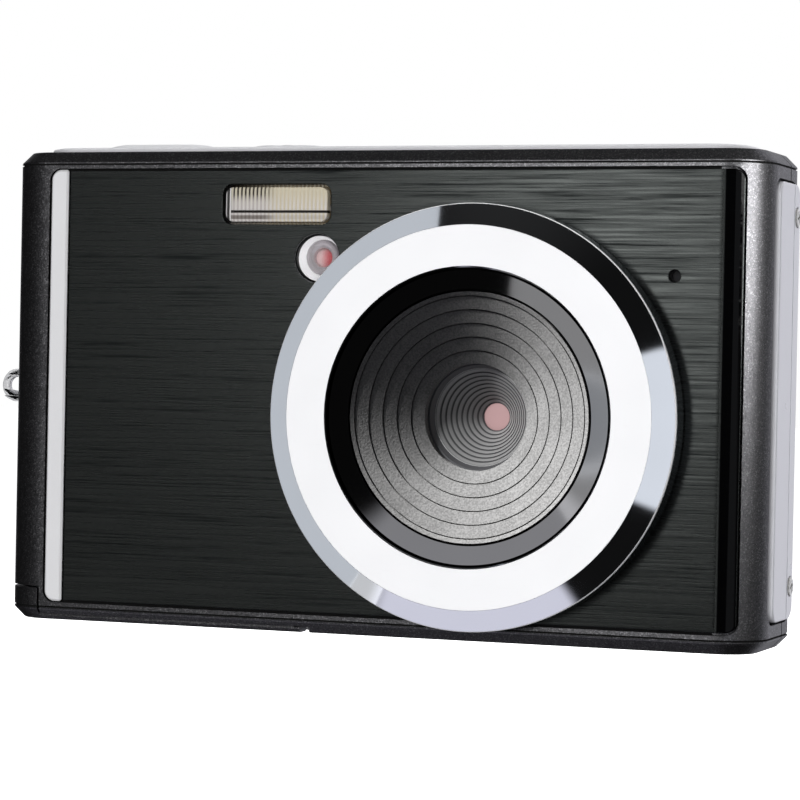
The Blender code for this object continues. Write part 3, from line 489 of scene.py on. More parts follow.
LOOKS = {
    "shell": painted("flake_paint", (0.30, 0.297, 0.31)),
    "plate": brushed("brushed_black", (0.024, 0.027, 0.027), (0.082, 0.088, 0.085), 0.3, 43.75),
    "strip": grained(
        "strip_silver", (0.78, 0.78, 0.79), 0.35, 14.0, 0.004, metallic=0.1, tone=0.03
    ),
    "ring_face": polished("ring_satin", (0.93, 0.93, 0.94), 0.3, metallic=0.0),
    "chrome": polished("polished_chrome", (0.80, 0.82, 0.86), 0.05),
    "trim": grained("trim_silver", (0.74, 0.74, 0.78), 0.3, 12.0, 0.004, metallic=0.35, tone=0.04),
    "top": grained("top_silver", (0.74, 0.74, 0.76), 0.33, 10.0, 0.005, metallic=0.15, tone=0.04),
    "gloss": polished("gloss_band", (0.33, 0.33, 0.34), 0.06),
    "cone": grained(
        "cone_black", (0.105, 0.104, 0.103), 0.7, 4.5, 0.09, tone=0.25, Specular_IOR_Level=0.15
    ),
    "hood": ringed("hood_black"),
    # painted shade: a near-black colour for the rim grooves and the recess floor
    "gap": grained("painted_gap_shade", (0.006, 0.006, 0.006), 0.8, 8.0, 0.01, Specular_IOR_Level=0.05),
    "eyelet": grained(
        "eyelet_silver", (0.78, 0.78, 0.79), 0.25, 9.0, 0.004, metallic=0.25, tone=0.05
    ),
    "lens": polished("coated_lens", (0.50, 0.32, 0.32), 0.35, metallic=0.0, Coat_Weight=0.3),
    "clear": grained("clear_plastic", (0.97, 0.96, 0.93), 0.05, 1.5, 0.002, tone=0.02, Alpha=0.05),
    "reflector": flash_metal(),
    "flash_clear": flash_clear(),
    "tube": polished("flash_glass", (0.80, 0.76, 0.74), 0.2, metallic=0.2, Coat_Weight=0.4),
    "cup": polished("lamp_cup", (0.92, 0.91, 0.93), 0.2, metallic=0.1),
    "lamp_body": polished("lamp_body", (0.44, 0.40, 0.43), 0.15, metallic=0.3, Coat_Weight=0.8),
    "led": led_look(),
    "steel": polished("plain_steel", (0.56, 0.56, 0.57), 0.28),
    "bright_steel": polished("bright_steel", (0.74, 0.73, 0.71), 0.2, metallic=0.6),
    "brass": polished("turned_brass", (0.78, 0.57, 0.25), 0.25),
    "matte": grained("matte_plastic", (0.03, 0.03, 0.032), 0.6, 8.0, 0.02, tone=0.2),
    "grey": grained("grey_plastic", (0.35, 0.35, 0.36), 0.42, 8.0, 0.01, tone=0.06),
    "key": grained("key_silver", (0.5, 0.5, 0.52), 0.33, 9.0, 0.006, metallic=0.5, tone=0.05),
    "mark": grained("printed_mark", (0.75, 0.76, 0.78), 0.5, 12.0, 0.003, tone=0.04),
    "dark_mark": grained("engraved_mark", (0.03, 0.03, 0.035), 0.5, 12.0, 0.003, tone=0.1),
    "orange": grained("orange_plastic", (0.85, 0.3, 0.05), 0.42, 8.0, 0.01),
    "wrap": grained("blue_sleeve", (0.04, 0.07, 0.2), 0.3, 2.0, 0.01),
    "cell": grained("cell_film", (0.07, 0.075, 0.09), 0.38, 3.0, 0.008),
    "chip": grained("sensor_glass", (0.02, 0.025, 0.04), 0.1, 3.0, 0.002, Coat_Weight=0.6),
    "board": speckled_board("circuit_board"),
    "screen": screen_look(),
}


# ---------------- shape helpers
def link_mesh(name, mesh, matrix=ALONG_Z):
    made = bpy.data.objects.new(name, mesh)
    scene.collection.objects.link(made)
    made.matrix_world = matrix
    return made


def mesh_from(name, shape):
    """Turns a finished bmesh into a mesh."""
    mesh = bpy.data.meshes.new(name)
    shape.to_mesh(mesh)
    shape.free()
    return mesh


def at(x, y, z):
    return Matrix.Translation(Vector((x, y, z)) * MM)


def settle(piece):
    """Bakes the piece's place into its mesh, so that it sits at the origin."""
    bpy.context.view_layer.update()
    piece.data.transform(piece.matrix_world)
    piece.matrix_world = Matrix.Identity(4)
    return piece


def arc(cx, cy, radius, start, end, steps):
    angles = [math.radians(start + (end - start) * i / steps) for i in range(steps + 1)]
    return [(cx + radius * math.cos(a), cy + radius * math.sin(a)) for a in angles]


def rounded(x0, x1, y0, y1, radius, steps=8):
    """The outline of a rectangle with round corners, anticlockwise."""
    return (
        arc(x1 - radius, y0 + radius, radius, -90, 0, steps)
        + arc(x1 - radius, y1 - radius, radius, 0, 90, steps)
        + arc(x0 + radius, y1 - radius, radius, 90, 180, steps)
        + arc(x0 + radius, y0 + radius, radius, 180, 270, steps)
    )


def centred(width, height, radius, cx=0.0, cy=0.0, steps=8):
    return rounded(cx - width / 2, cx + width / 2, cy - height / 2, cy + height / 2, radius, steps)


def turned(points, angle):
    """Points turned anticlockwise about the origin by an angle in degrees."""
    turn = math.radians(angle)
    across, along = math.sin(turn), math.cos(turn)
    return [(x * along - y * across, x * across + y * along) for x, y in points]


def circle(cx, cy, radius, steps=48):
    return arc(cx, cy, radius, 0, 360, steps)[:-1]


def soften(points, radius, steps=3, closed=False):
    """A polyline with its corners replaced by short arcs of about the given radius."""
    made = []
    count = len(points)
    for i, point in enumerate(points):
        if not closed and i in (0, count - 1):
            made.append(point)
            continue
        before, after = Vector(points[i - 1]), Vector(points[(i + 1) % count])
        corner = Vector(point)
        reach = min(radius, (before - corner).length * 0.45, (after - corner).length * 0.45)
        start = corner + (before - corner).normalized() * reach
        end = corner + (after - corner).normalized() * reach
        for k in range(steps + 1):
            t = k / steps
            made.append(tuple(start * (1 - t) ** 2 + corner * 2 * t * (1 - t) + end * t**2))
    return made


def from_rings(name, rings, closed=False, caps=True):
    """A surface through rings of points that all have the same count."""
    shape = bmesh.new()
    loops = [[shape.verts.new(Vector(p) * MM) for p in ring] for ring in rings]
    pairs = list(zip(loops, loops[1:]))
    if closed:
        pairs.append((loops[-1], loops[0]))
    for first, second in pairs:
        for i in range(len(first)):
            j = (i + 1) % len(first)
            shape.faces.new((first[i], first[j], second[j], second[i]))
    if caps and not closed:
        shape.faces.new(list(reversed(loops[0])))
        shape.faces.new(loops[-1])
    bmesh.ops.recalc_face_normals(shape, faces=shape.faces)
    return link_mesh(name, mesh_from(name, shape))


def lathe(name, profile, centre, direction, steps=96, closed=True):
    """A profile of (radius, height) pairs turned round an axis.

    A closed profile is a loop; an open one starts and ends on the axis.
    """
    shape = bmesh.new()
    loops = []
    for radius, height in profile:
        if radius < 1e-6:
            loops.append([shape.verts.new((0, 0, height * MM))])
        else:
            ring = circle(0, 0, radius, steps)
            loops.append([shape.verts.new((x * MM, y * MM, height * MM)) for x, y in ring])
    pairs = list(zip(loops, loops[1:]))
    if closed:
        pairs.append((loops[-1], loops[0]))
    for first, second in pairs:
        for i in range(steps):
            j = (i + 1) % steps
            ends = [(first, i), (first, j), (second, j), (second, i)]
            corners = list(dict.fromkeys(loop[k % len(loop)] for loop, k in ends))
            if len(corners) > 2:
                shape.faces.new(corners)
    bmesh.ops.recalc_face_normals(shape, faces=shape.faces)
    return settle(link_mesh(name, mesh_from(name, shape), at(*centre) @ direction))


def slab(name, outlines, centre, direction, thickness):
    """A flat piece of even thickness, centred on a point; later outlines are holes."""
    curve = bpy.data.curves.new(name, "CURVE")
    curve.dimensions = "2D"
    curve.fill_mode = "BOTH"
    curve.extrude = thickness / 2 * MM
    for outline in outlines:
        spline = curve.splines.new("POLY")
        spline.points.add(len(outline) - 1)
        for point, (x, y) in zip(spline.points, outline):
            point.co = (x * MM, y * MM, 0.0, 1.0)
        spline.use_cyclic_u = True
    guide = link_mesh(name, curve, at(*centre) @ direction)
    bpy.context.view_layer.update()
    depsgraph = bpy.context.evaluated_depsgraph_get()
    mesh = bpy.data.meshes.new_from_object(guide.evaluated_get(depsgraph))
    shape = bmesh.new()
    shape.from_mesh(mesh)
    bmesh.ops.remove_doubles(shape, verts=shape.verts, dist=0.000001)
    bmesh.ops.recalc_face_normals(shape, faces=shape.faces)
    shape.to_mesh(mesh)
    shape.free()
    matrix = guide.matrix_world.copy()
    bpy.data.objects.remove(guide)
    bpy.data.curves.remove(curve)
    return settle(link_mesh(name, mesh, matrix))


def block(name, low, high):
    low, high = Vector(low), Vector(high)
    shape = bmesh.new()
    bmesh.ops.create_cube(shape, size=MM)
    bmesh.ops.scale(shape, vec=high - low, verts=shape.verts)
    bmesh.ops.translate(shape, vec=(low + high) / 2 * MM, verts=shape.verts)
    return link_mesh(name, mesh_from(name, shape))


def dome(radius, foot, rise, steps):
    """The profile of a dome, from its top down to its rim."""
    angles = [math.pi / 2 * i / steps for i in range(steps + 1)]
    return [(radius * math.sin(a), foot + rise * math.cos(a)) for a in angles]


def drum(name, centre, direction, radius, length, steps=48):
    half = length / 2
    profile = [(0, -half), (radius, -half), (radius, half), (0, half)]
    return lathe(name, profile, centre, direction, steps, closed=False)


def shape_with(piece, operation, tools):
    """Applies Booleans with the tools in turn and removes the tools."""
    for tool in tools:
        step = piece.modifiers.new("step", "BOOLEAN")
        step.operation = operation
        step.object = tool
        step.solver = "EXACT"
    bake(piece)
    for tool in tools:
        mesh = tool.data
        bpy.data.objects.remove(tool)
        bpy.data.meshes.remove(mesh)
    return piece


def bake(piece):
    """Applies a piece's modifiers to its mesh."""
    bpy.context.view_layer.update()
    old = piece.data
    depsgraph = bpy.context.evaluated_depsgraph_get()
    mesh = bpy.data.meshes.new_from_object(piece.evaluated_get(depsgraph))
    piece.modifiers.clear()
    piece.data = mesh
    mesh.name = piece.name
    bpy.data.meshes.remove(old)
    return piece


def cut(piece, *tools):
    return shape_with(piece, "DIFFERENCE", tools)


def join(piece, *tools):
    return shape_with(piece, "UNION", tools)


def clip(piece, *tools):
    return shape_with(piece, "INTERSECT", tools)


def soft_edges(piece, width, segments=2, angle=50):
    """Rounds the edges sharper than angle."""
    edge = piece.modifiers.new("edges", "BEVEL")
    edge.width = width * MM
    edge.segments = segments
    edge.limit_method = "ANGLE"
    edge.angle_limit = math.radians(angle)
    edge.use_clamp_overlap = False
    return bake(piece)


def finish(piece, slot, look, *nodes, body="camera_body", sharp=38):
    """Smooths a piece, gives it its material and ties it to the CAD frame."""
    piece.data.shade_smooth()
    piece.data.set_sharp_from_angle(angle=math.radians(sharp))
    weigh = piece.modifiers.new("shading", "WEIGHTED_NORMAL")
    weigh.keep_sharp = True
    piece.data.materials.clear()
    piece.data.materials.append(LOOKS[look].material)
    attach(piece, body)
    if nodes:
        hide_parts(*nodes)
    return piece


def cap(name, outline, base, top, edge, crown, direction, centre=(0, 0, 0)):
    """A button: straight sides from base, a rounded rim, and a crowned top.

    outline(inset) gives its outline drawn in by inset; heights are along direction.
    """
    levels = cap_levels(base, top, edge, crown, 3.0, (0.25, 0.5, 0.75, 1.0))
    rings = [[(x, y, height) for x, y in outline(inset)] for inset, height in levels]
    piece = from_rings(name, rings)
    piece.matrix_world = at(*centre) @ direction
    return settle(piece)


def cap_levels(base, top, edge, crown, reach, shares, steps=5):
    """The (inset, height) pairs of a cap's side, rounded rim and crown.

    The crown rises over reach times the rim's radius, through the given shares of it.
    """
    rim = top - crown
    turns = [math.pi / 2 * (i + 1) / steps for i in range(steps)]
    levels = [(0.0, base), (0.0, rim - edge)]
    levels += [(edge * (1 - math.cos(a)), rim - edge + edge * math.sin(a)) for a in turns]
    levels += [(edge + reach * edge * t, rim + crown * math.sin(math.pi / 2 * t)) for t in shares]
    return levels


# ---------------- casing
def body_ring(inset, z):
    """The body's outline at one height, drawn in by inset."""
    across = (inset - HALF_WIDTH, HALF_WIDTH - inset)
    outline = rounded(*across, FRONT_Y + inset, REAR_Y - inset, CORNER_R - inset, 14)
    return [(x, y, z) for x, y in outline]


def body_form(name, inset, low=-BIG, high=BIG):
    """An upright block with the body's outline."""
    return from_rings(name, [body_ring(inset, low), body_ring(inset, high)])


def chamfered_body(name, inset=0.0):
    """The whole body with its sloped rims, whose edges are slightly rounded."""
    rim = CHAMFER + inset
    path = [(rim + 0.9, inset), (rim, inset), (inset, rim), (inset, HEIGHT - rim)]
    path += [(rim, HEIGHT - inset), (rim + 0.9, HEIGHT - inset)]
    return from_rings(name, [body_ring(side, z) for side, z in soften(path, 0.12, 3)])


def rim_grooves():
    """Tools for the fine groove that runs round the body beside each sloped rim."""
    tools = []
    for start in (CHAMFER + GROOVE_RISE, HEIGHT - CHAMFER - GROOVE_RISE - GROOVE_W):
        tool = body_form("groove", -1.0, start, start + GROOVE_W)
        tools.append(cut(tool, body_form("core", GROOVE_DEPTH, start - 1, start + GROOVE_W + 1)))
    return tools


def face_slab(margin, trimmed):
    """The outline of the face grown by margin, then trimmed at its top and bottom."""
    tall = margin - trimmed
    across = (PLATE_X[0] - margin, PLATE_X[1] + margin)
    outline = rounded(*across, PLATE_Z[0] - tall, PLATE_Z[1] + tall, 1.3 + margin)
    return slab("face", [outline], (0, FRONT_Y, 0), ALONG_FRONT, 4.0)


def face_skin(name, outer, depth, margin, trimmed):
    """A layer of the front face that follows its outline and its right-hand corner."""
    piece = body_form(name, outer)
    cut(piece, body_form("core", depth, -BIG - 1, BIG + 1))
    return clip(piece, face_slab(margin, trimmed))


def flash_opening():
    outline = centred(flash_size.x, flash_size.z + 0.3, 1.25, FLASH_X, FLASH_Z)
    return slab("flash_opening", [outline], (0, FRONT_Y, 0), ALONG_FRONT, 6.0)


def lamp_opening():
    return drum("lamp_opening", (LAMP_X, FRONT_Y, LAMP_Z), ALONG_FRONT, 2.95, 6.0)


def mic_opening():
    return drum("mic_opening", (mic_middle.x, FRONT_Y, mic_middle.z), ALONG_FRONT, 0.7, 6.0, 24)


# each top button's flange, which hides under the casing, in X and Y, and its corner radius
TOP_BUTTONS = {"shutter_button": (2.0, 1.8, 3.7), "power_button": (1.6, 1.6, 2.2)}


def button_outline(node, margin):
    """A top button's own outline, without its flange, grown by margin."""
    low, high = box(node)
    flange_x, flange_y, radius = TOP_BUTTONS[node]
    middle = (low + high) / 2
    width = high.x - low.x - flange_x + 2 * margin
    depth = high.y - low.y - flange_y + 2 * margin
    return lambda inset: centred(
        width - 2 * inset, depth - 2 * inset, radius + margin - inset, middle.x, middle.y
    )


def top_openings():
    return [
        slab("opening", [button_outline(node, 0.3)(0.0)], (0, 0, HEIGHT), ALONG_Z, 8.0)
        for node in TOP_BUTTONS
    ]


def trim_pockets():
    pockets = []
    low, high = box("top_trim")
    outline = rounded(low.x - 0.2, high.x + 0.2, low.y - 0.2, high.y + 0.2, 5.2)
    pockets.append(slab("pocket", [outline], (0, 0, HEIGHT + 1.3), ALONG_Z, 4.0))
    for node, side in (("side_trim_right", 1), ("side_trim_left", -1)):
        low, high = box(node)
        outline = rounded(low.y - 0.8, high.y + 0.2, low.z - 0.35, high.z + 0.35, 2.15)
        pockets.append(slab("pocket", [outline], (side * (HALF_WIDTH + 1.0), 0, 0), ALONG_X, 4.0))
    return pockets


def screw_places(side):
    names = [n for n in sorted(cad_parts) if n.startswith("side_screw_" + side)]
    return [(n, middle_of(n)) for n in names]


def side_screw_holes():
    return [
        drum("hole", (p.x, p.y, p.z), ALONG_X, 0.95, 9.0, 24)
        for side in ("right", "left")
        for _, p in screw_places(side)
    ]


def eyelet_opening():
    middle = middle_of("strap_eyelet")
    near = (-BIG, middle.y - 0.8, middle.z - 2.2)
    return block("eyelet_opening", near, (-46.0, middle.y + 0.8, middle.z + 2.2))


def door_openings():
    return [
        block("lip", (-BIG,) * 3, (LIP_END_X + GAP, DOOR_REAR_Y + GAP, LIP_TOP_Z + GAP)),
        block("floor", (-BIG, -8.2, -BIG), (SWING_X, DOOR_REAR_Y + GAP, DOOR_T + GAP)),
        block("front", (-BIG, -9.4, -BIG), (SWING_X, -8.0, 1.15)),
        block("swing", (-12.3, -9.36, 0.5), (SWING_X + 0.05, -7.95, 1.96)),
    ]


def in_groove(point):
    """Whether a point lies in the groove along either sloped rim."""
    from_rim = min(point.z, HEIGHT - point.z) - CHAMFER - GROOVE_RISE
    return 0 < from_rim < GROOVE_W


def in_recess(point):
    """Whether a point lies in the flat part of the recess that holds the face."""
    return (
        PLATE_X[0] - 0.3 < point.x < HALF_WIDTH - CORNER_R
        and FRONT_Y + 0.02 < point.y < FRONT_Y + 0.82
        and PLATE_Z[0] - 0.2 < point.z < PLATE_Z[1] + 0.2
    )


def paint_gap_shade(piece, *tests):
    """Gives the faces that pass a test a near-black material, painted shade for the grooves and
    recesses.
    """
    piece.data.materials.append(LOOKS["gap"].material)
    for face in piece.data.polygons:
        if any(test(face.center / MM) for test in tests):
            face.material_index = 1


def seam_tongue():
    """The tongue that closes the seam between the two halves, set back from the outside."""
    piece = chamfered_body("tongue", 0.4)
    near, far = shell_high.y - 0.4, SEAM_Y - 0.02
    inside = [rounded(WALL - 0.1 - HALF_WIDTH, HALF_WIDTH - WALL + 0.1, -8.0, REAR_Y + 5, 4.0)]
    cut(piece, slab("inside", inside, (0, 0, HEIGHT / 2), ALONG_Z, HEIGHT - 2 * WALL + 0.2))
    return clip(piece, block("seam", (-BIG, near, -BIG), (BIG, far, BIG)))


def front_casing():
    piece = chamfered_body("casing_front")
    cavity = [rounded(WALL - HALF_WIDTH, HALF_WIDTH - WALL, -8.2, REAR_Y + 5, 4.0)]
    cut(piece, slab("cavity", cavity, (0, 0, HEIGHT / 2), ALONG_Z, HEIGHT - 2 * WALL))
    cut(piece, block("limit", (-BIG, shell_high.y, -BIG), (BIG, BIG, BIG)))
    join(piece, seam_tongue())
    cut(piece, face_skin("recess", -1.0, 0.8, 0.2, 0.15))
    cut(piece, drum("lens_opening", (LENS_X, FRONT_Y, LENS_Z), ALONG_FRONT, 8.6, 6.0, 64))
    cut(piece, lamp_opening(), mic_opening(), flash_opening())
    cut(piece, *trim_pockets(), *top_openings(), eyelet_opening())
    cut(piece, drum("bush", (bush_middle.x, bush_middle.y, 0), ALONG_Z, 4.8, 6.0))
    usb = centred(8.4, 3.5, 0.5, (usb_low.x + usb_high.x) / 2, (usb_low.y + usb_high.y) / 2)
    cut(piece, slab("usb", [usb], (0, 0, 0), ALONG_Z, 6.0))
    sound_x = (36.0, 38.2, 40.4)
    cut(piece, *[drum("sound", (x, -5.6, 0), ALONG_Z, 0.6, 6.0, 24) for x in sound_x])
    cut(piece, *door_openings(), *rim_grooves())
    finish(piece, "painted_shell", "shell", "front_shell")
    # painted shade: the rim grooves and the recess floor turn near black
    paint_gap_shade(piece, in_groove, in_recess)


KEYS = ("mode_button", "playback_button", "menu_button", "delete_button")


def rear_casing():
    piece = chamfered_body("casing_rear")
    cavity = [rounded(WALL - HALF_WIDTH, HALF_WIDTH - WALL, FRONT_Y - 5, REAR_Y - WALL, 4.0)]
    cut(piece, slab("cavity", cavity, (0, 0, HEIGHT / 2), ALONG_Z, HEIGHT - 2 * WALL))
    cut(piece, block("limit", (-BIG, -BIG, -BIG), (BIG, SEAM_Y, BIG)))
    cut(piece, *trim_pockets(), *top_openings(), *side_screw_holes())
    low, high = box("lcd_window")
    width, height = high.x - low.x, high.z - low.z
    cx, cz = (low.x + high.x) / 2, (low.z + high.z) / 2
    recess = [centred(width + 0.4, height + 0.4, 1.7, cx, cz)]
    opening = [centred(width - 4.5, height - 5.8, 1.0, cx, cz)]
    cut(
        piece,
        slab("window_recess", recess, (0, REAR_Y + 1.0, 0), ALONG_FRONT, 4.0),
        slab("window_opening", opening, (0, REAR_Y, 0), ALONG_FRONT, 6.0),
    )
    tools = []
    for node in KEYS:
        middle = middle_of(node)
        hole = [centred(8.6, 5.0, 2.4, middle.x, middle.z)]
        tools.append(slab("key_hole", hole, (0, REAR_Y, 0), ALONG_FRONT, 6.0))
        dish = [centred(9.6, 6.0, 2.9, middle.x, middle.z)]
        tools.append(slab("key_dish", dish, (0, REAR_Y + 1.75, 0), ALONG_FRONT, 4.0))
    pad_place = (pad_middle.x, REAR_Y, pad_middle.z)
    tools.append(drum("pad_hole", pad_place, ALONG_FRONT, 10.85, 6.0, 96))
    rocker = middle_of("zoom_rocker")
    slot = [centred(17.9, 6.0, 2.8, rocker.x, rocker.z)]
    tools.append(slab("rocker_slot", slot, (0, REAR_Y, 0), ALONG_FRONT, 6.0))
    cut(piece, *tools)
    for end in ("inner", "outer"):
        middle = middle_of("base_screw_" + end)
        cut(
            piece,
            drum("hole", (middle.x, middle.y, 0), ALONG_Z, 0.95, 5.0, 24),
            drum("seat", (middle.x, middle.y, 0), ALONG_Z, 1.7, 1.6, 32),
        )
    cut(piece, *door_openings(), *rim_grooves())
    finish(piece, "painted_shell", "shell", "rear_shell")
    # painted shade: the rim grooves turn near black
    paint_gap_shade(piece, in_groove)


def front_face():
    piece = face_skin("front_plate_brushed", 0.0, 0.6, 0.0, 0.28)
    cut(piece, block("split", (-BIG, -BIG, -BIG), (plate_low.x, BIG, BIG)))
    cut(piece, drum("ring_opening", (LENS_X, FRONT_Y, LENS_Z), ALONG_FRONT, 23.4, 4.0, 128))
    cut(piece, flash_opening(), lamp_opening(), mic_opening())
    soft_edges(piece, 0.13)
    finish(piece, "brushed_black", "plate", "front_plate")

    piece = face_skin("silver_strip_bevelled", 0.0, 0.6, 0.0, 0.1)
    cut(piece, block("split", (strip_high.x, -BIG, -BIG), (BIG, BIG, BIG)))
    soft_edges(piece, 0.22, segments=1)
    finish(piece, "bright_silver", "strip", "silver_strip", sharp=30)


def side_trim(side, spread, levels, outer, direction, opening):
    """A side trim with the seats and holes of its two screws."""
    low, high = box("side_trim_" + side)
    piece = cap(
        side + "_trim_plate",
        lambda i: rounded(spread[0] + i, spread[1] - i, low.z + i, high.z - i, 1.8 - i, 12),
        *levels, 0.25, 0.0, direction,
    )
    cut(piece, opening)
    places = [place for _, place in screw_places(side)]
    seats = [drum("seat", (outer, p.y, p.z), ALONG_X, 1.25, 1.1, 32) for p in places]
    holes = [drum("hole", (p.x, p.y, p.z), ALONG_X, 0.95, 9.0, 24) for p in places]
    cut(piece, *seats, *holes)
    finish(piece, "bright_silver", "trim", "side_trim_" + side)


def trims():
    low, high = box("top_trim")
    piece = cap(
        "top_trim_crowned",
        lambda i: rounded(low.x + i, high.x - i, low.y + i, high.y - i, 5.0 - i, 16),
        low.z, high.z, 0.3, 0.12, ALONG_Z,
    )
    cut(piece, *top_openings())
    finish(piece, "bright_silver", "top", "top_trim")

    low, high = box("side_trim_right")
    seam = block("seam", (49.0, 1.9, -BIG), (BIG, 2.2, BIG))
    side_trim("right", (low.y, high.y), (low.x, high.x), high.x, ALONG_X, seam)
    low, high = box("side_trim_left")
    spread, levels = (-high.y, -low.y), (-high.x, -low.x)
    side_trim("left", spread, levels, low.x, ALONG_LEFT, eyelet_opening())


# ---------------- lens group
def lens_group():
    centre = (LENS_X, 0, LENS_Z)
    front, shoulder, inner = 14.7, 13.5, 17.6
    face = [(inner + 0.16, front), (22.6, front), (22.6, 14.3), (inner + 0.16, 14.3)]
    piece = lathe("lens_ring_face", soften(face, 0.05, 2, closed=True), centre, ALONG_FRONT, 192)
    finish(piece, "bright_silver", "ring_face")

    rim = [(22.55, 14.3), (22.62, 14.69), (RING_R - 0.09, shoulder + 0.02)]
    rim += [(RING_R - 0.09, 12.9), (RING_R, 12.9), (RING_R, 10.3), (23.1, 10.3)]
    rim += [(23.1, 9.5), (22.0, 9.5), (22.0, 13.2), (18.7, 13.2), (18.7, 9.5)]
    rim += [(inner, 9.5), (inner, 14.54), (inner + 0.15, 14.69), (inner + 0.15, 14.3)]
    piece = lathe("lens_ring_rim", rim, centre, ALONG_FRONT, 192)
    finish(piece, "bright_silver", "chrome", "lens_ring", sharp=12)

    edge = [(RING_R - 0.08, shoulder + 0.01), (RING_R, shoulder - 0.1), (RING_R, shoulder - 0.4)]
    edge += [(RING_R - 0.08, shoulder - 0.42)]
    piece = lathe("lens_ring_edge", edge, centre, ALONG_FRONT, 192)
    finish(piece, "bright_silver", "ring_face")

    band = [(15.1, 13.6), (17.3, 14.2), (17.3, 9.5), (16.3, 9.5), (16.3, 12.9), (15.1, 12.9)]
    piece = lathe("lens_gloss_band", band, centre, ALONG_FRONT, 192)
    finish(piece, "gloss_black", "gloss", "lens_bezel", sharp=12)

    rims = (6.35, 7.8, 9.4, 11.0, 12.6, 14.2, 14.8)
    low, high = 10.9, 13.7
    groove, step = 0.2, 0.10
    slope = (high - low - step * (len(rims) - 2)) / (rims[-1] - rims[0])
    height, terraces = low, [(rims[0], low)]
    for start, end in zip(rims, rims[1:]):
        height += slope * (end - start)
        terraces.append((end, height))
        if end != rims[-1]:
            terraces += [(end + 0.02, height - groove), (end + 0.13, height - groove)]
            height += step
            terraces.append((end + 0.16, height))
    skirt = [(14.8, 9.5), (13.8, 9.5), (13.8, 12.1), (7.4, 9.9), (6.35, 9.9)]
    piece = lathe("lens_cone_grooved", terraces + skirt, centre, ALONG_FRONT, 160)
    finish(piece, "matte_black", "cone", "lens_cone", sharp=20)

    low_h, high_h = 3.0, 8.7
    baffles = [(HOOD_RINGS[0], low_h)]
    for i in range(HOOD_STEPS):
        foot = low_h + (high_h - low_h) * i / HOOD_STEPS
        rise = low_h + (high_h - low_h) * (i + 1) / HOOD_STEPS
        start = HOOD_RINGS[0] + HOOD_PITCH * i
        baffles += [(start + 0.06, foot - 0.04), (start + 0.13, foot + 0.12)]
        baffles.append((start + HOOD_PITCH, rise))
    baffles += [(HOOD_RINGS[1] + 0.1, high_h + 0.05), (6.2, 9.6)]
    hood = [(7.4, 9.6), (7.4, 8.7), (2.9, 3.0)] + baffles
    piece = lathe("lens_hood_stepped", hood, centre, ALONG_FRONT, 96)
    finish(piece, "matte_black", "hood", "lens_hood", sharp=25)

    profile = dome(2.0, 2.35, 0.4, 10) + [(2.0, 1.95), (1.2, 1.75), (0.0, 1.65)]
    piece = lathe("lens_front_element", profile, centre, ALONG_FRONT, 64, closed=False)
    finish(piece, "lens_glass", "lens", "lens_element")


# ---------------- flash and lamp
def flash_group():
    low, high = box("flash_window")
    width, height = flash_size.x - 0.8, flash_size.z - 0.4
    piece = cap(
        "flash_window_clear",
        lambda i: centred(
            width - 2 * i, height - 2 * i, 1.0 - min(i, 0.8), FLASH_X, FLASH_Z, 10
        ),
        -high.y, -low.y, 0.15, 0.08, ALONG_FRONT,
    )
    finish(piece, "clear_plastic", "flash_clear", "flash_window")

    # the reflector: a trough, deepest at its apex, with fine ribs across it
    half, apex, mouth = 2.2, -4.6, -8.85
    x0, x1 = FLASH_X - 6.7, FLASH_X + 6.7
    ribs, rib_depth, columns = 26, 0.3, 232
    profile = [(half * t, apex - (apex - mouth) * t * t) for t in (i / 14 - 1 for i in range(29))]
    shape = bmesh.new()
    grid = []
    for column in range(columns + 1):
        u = column / columns
        x = x0 + (x1 - x0) * u
        ripple = rib_depth * abs(math.sin(math.pi * ribs * u))
        points = [(x * MM, (y + ripple) * MM, (FLASH_Z + z) * MM) for z, y in profile]
        grid.append([shape.verts.new(point) for point in points])
    for first, second in zip(grid, grid[1:]):
        for i in range(len(profile) - 1):
            shape.faces.new((first[i], second[i], second[i + 1], first[i + 1]))
    mesh = mesh_from("flash_reflector_ribbed", shape)
    piece = link_mesh("flash_reflector_ribbed", mesh)
    thick = piece.modifiers.new("thick", "SOLIDIFY")
    thick.thickness = 0.25 * MM
    thick.offset = 1.0 if mesh.polygons[0].normal.y > 0 else -1.0
    bake(piece)
    finish(piece, "reflector", "reflector", "flash_reflector", sharp=60)

    piece = drum("flash_tube_glass", (FLASH_X, -6.4, FLASH_Z - 0.3), ALONG_X, 0.42, 12.6, 32)
    finish(piece, "lens_glass", "tube", "flash_tube")

    place = (LAMP_X, 0, LAMP_Z)
    profile = dome(2.5, 10.1, 0.8, 12) + [(2.5, 9.0), (1.9, 9.0), (1.7, 9.5), (0.0, 9.7)]
    piece = lathe("lamp_window", profile, place, ALONG_FRONT, 64, closed=False)
    finish(piece, "clear_plastic", "clear", "timer_lamp_lens")
    cup = [(2.78, 8.9), (2.74, 8.96), (2.6, 8.92), (1.6, 8.5)]
    cup += [(1.6, 6.4), (1.9, 6.4), (1.9, 8.2), (2.78, 8.5)]
    finish(lathe("lamp_cup", cup, place, ALONG_FRONT, 64), "satin_silver", "cup")
    body = [(2.22, 8.6), (2.15, 9.2), (2.0, 9.4), (1.75, 9.3), (1.5, 9.38)]
    body += [(1.2, 9.1), (1.1, 8.2), (1.35, 7.6), (2.22, 7.6)]
    aside = (LAMP_X + 0.5, 0, LAMP_Z + 0.12)
    finish(lathe("lamp_inner_body", body, aside, ALONG_FRONT, 64), "clear_plastic", "lamp_body")
    led = dome(1.5, 7.2, 1.4, 10) + [(1.5, 6.3), (1.8, 6.3), (1.8, 5.5), (0.0, 5.5)]
    piece = lathe("lamp_led", led, place, ALONG_FRONT, 48, closed=False)
    finish(piece, "red_lens", "led", "timer_led")


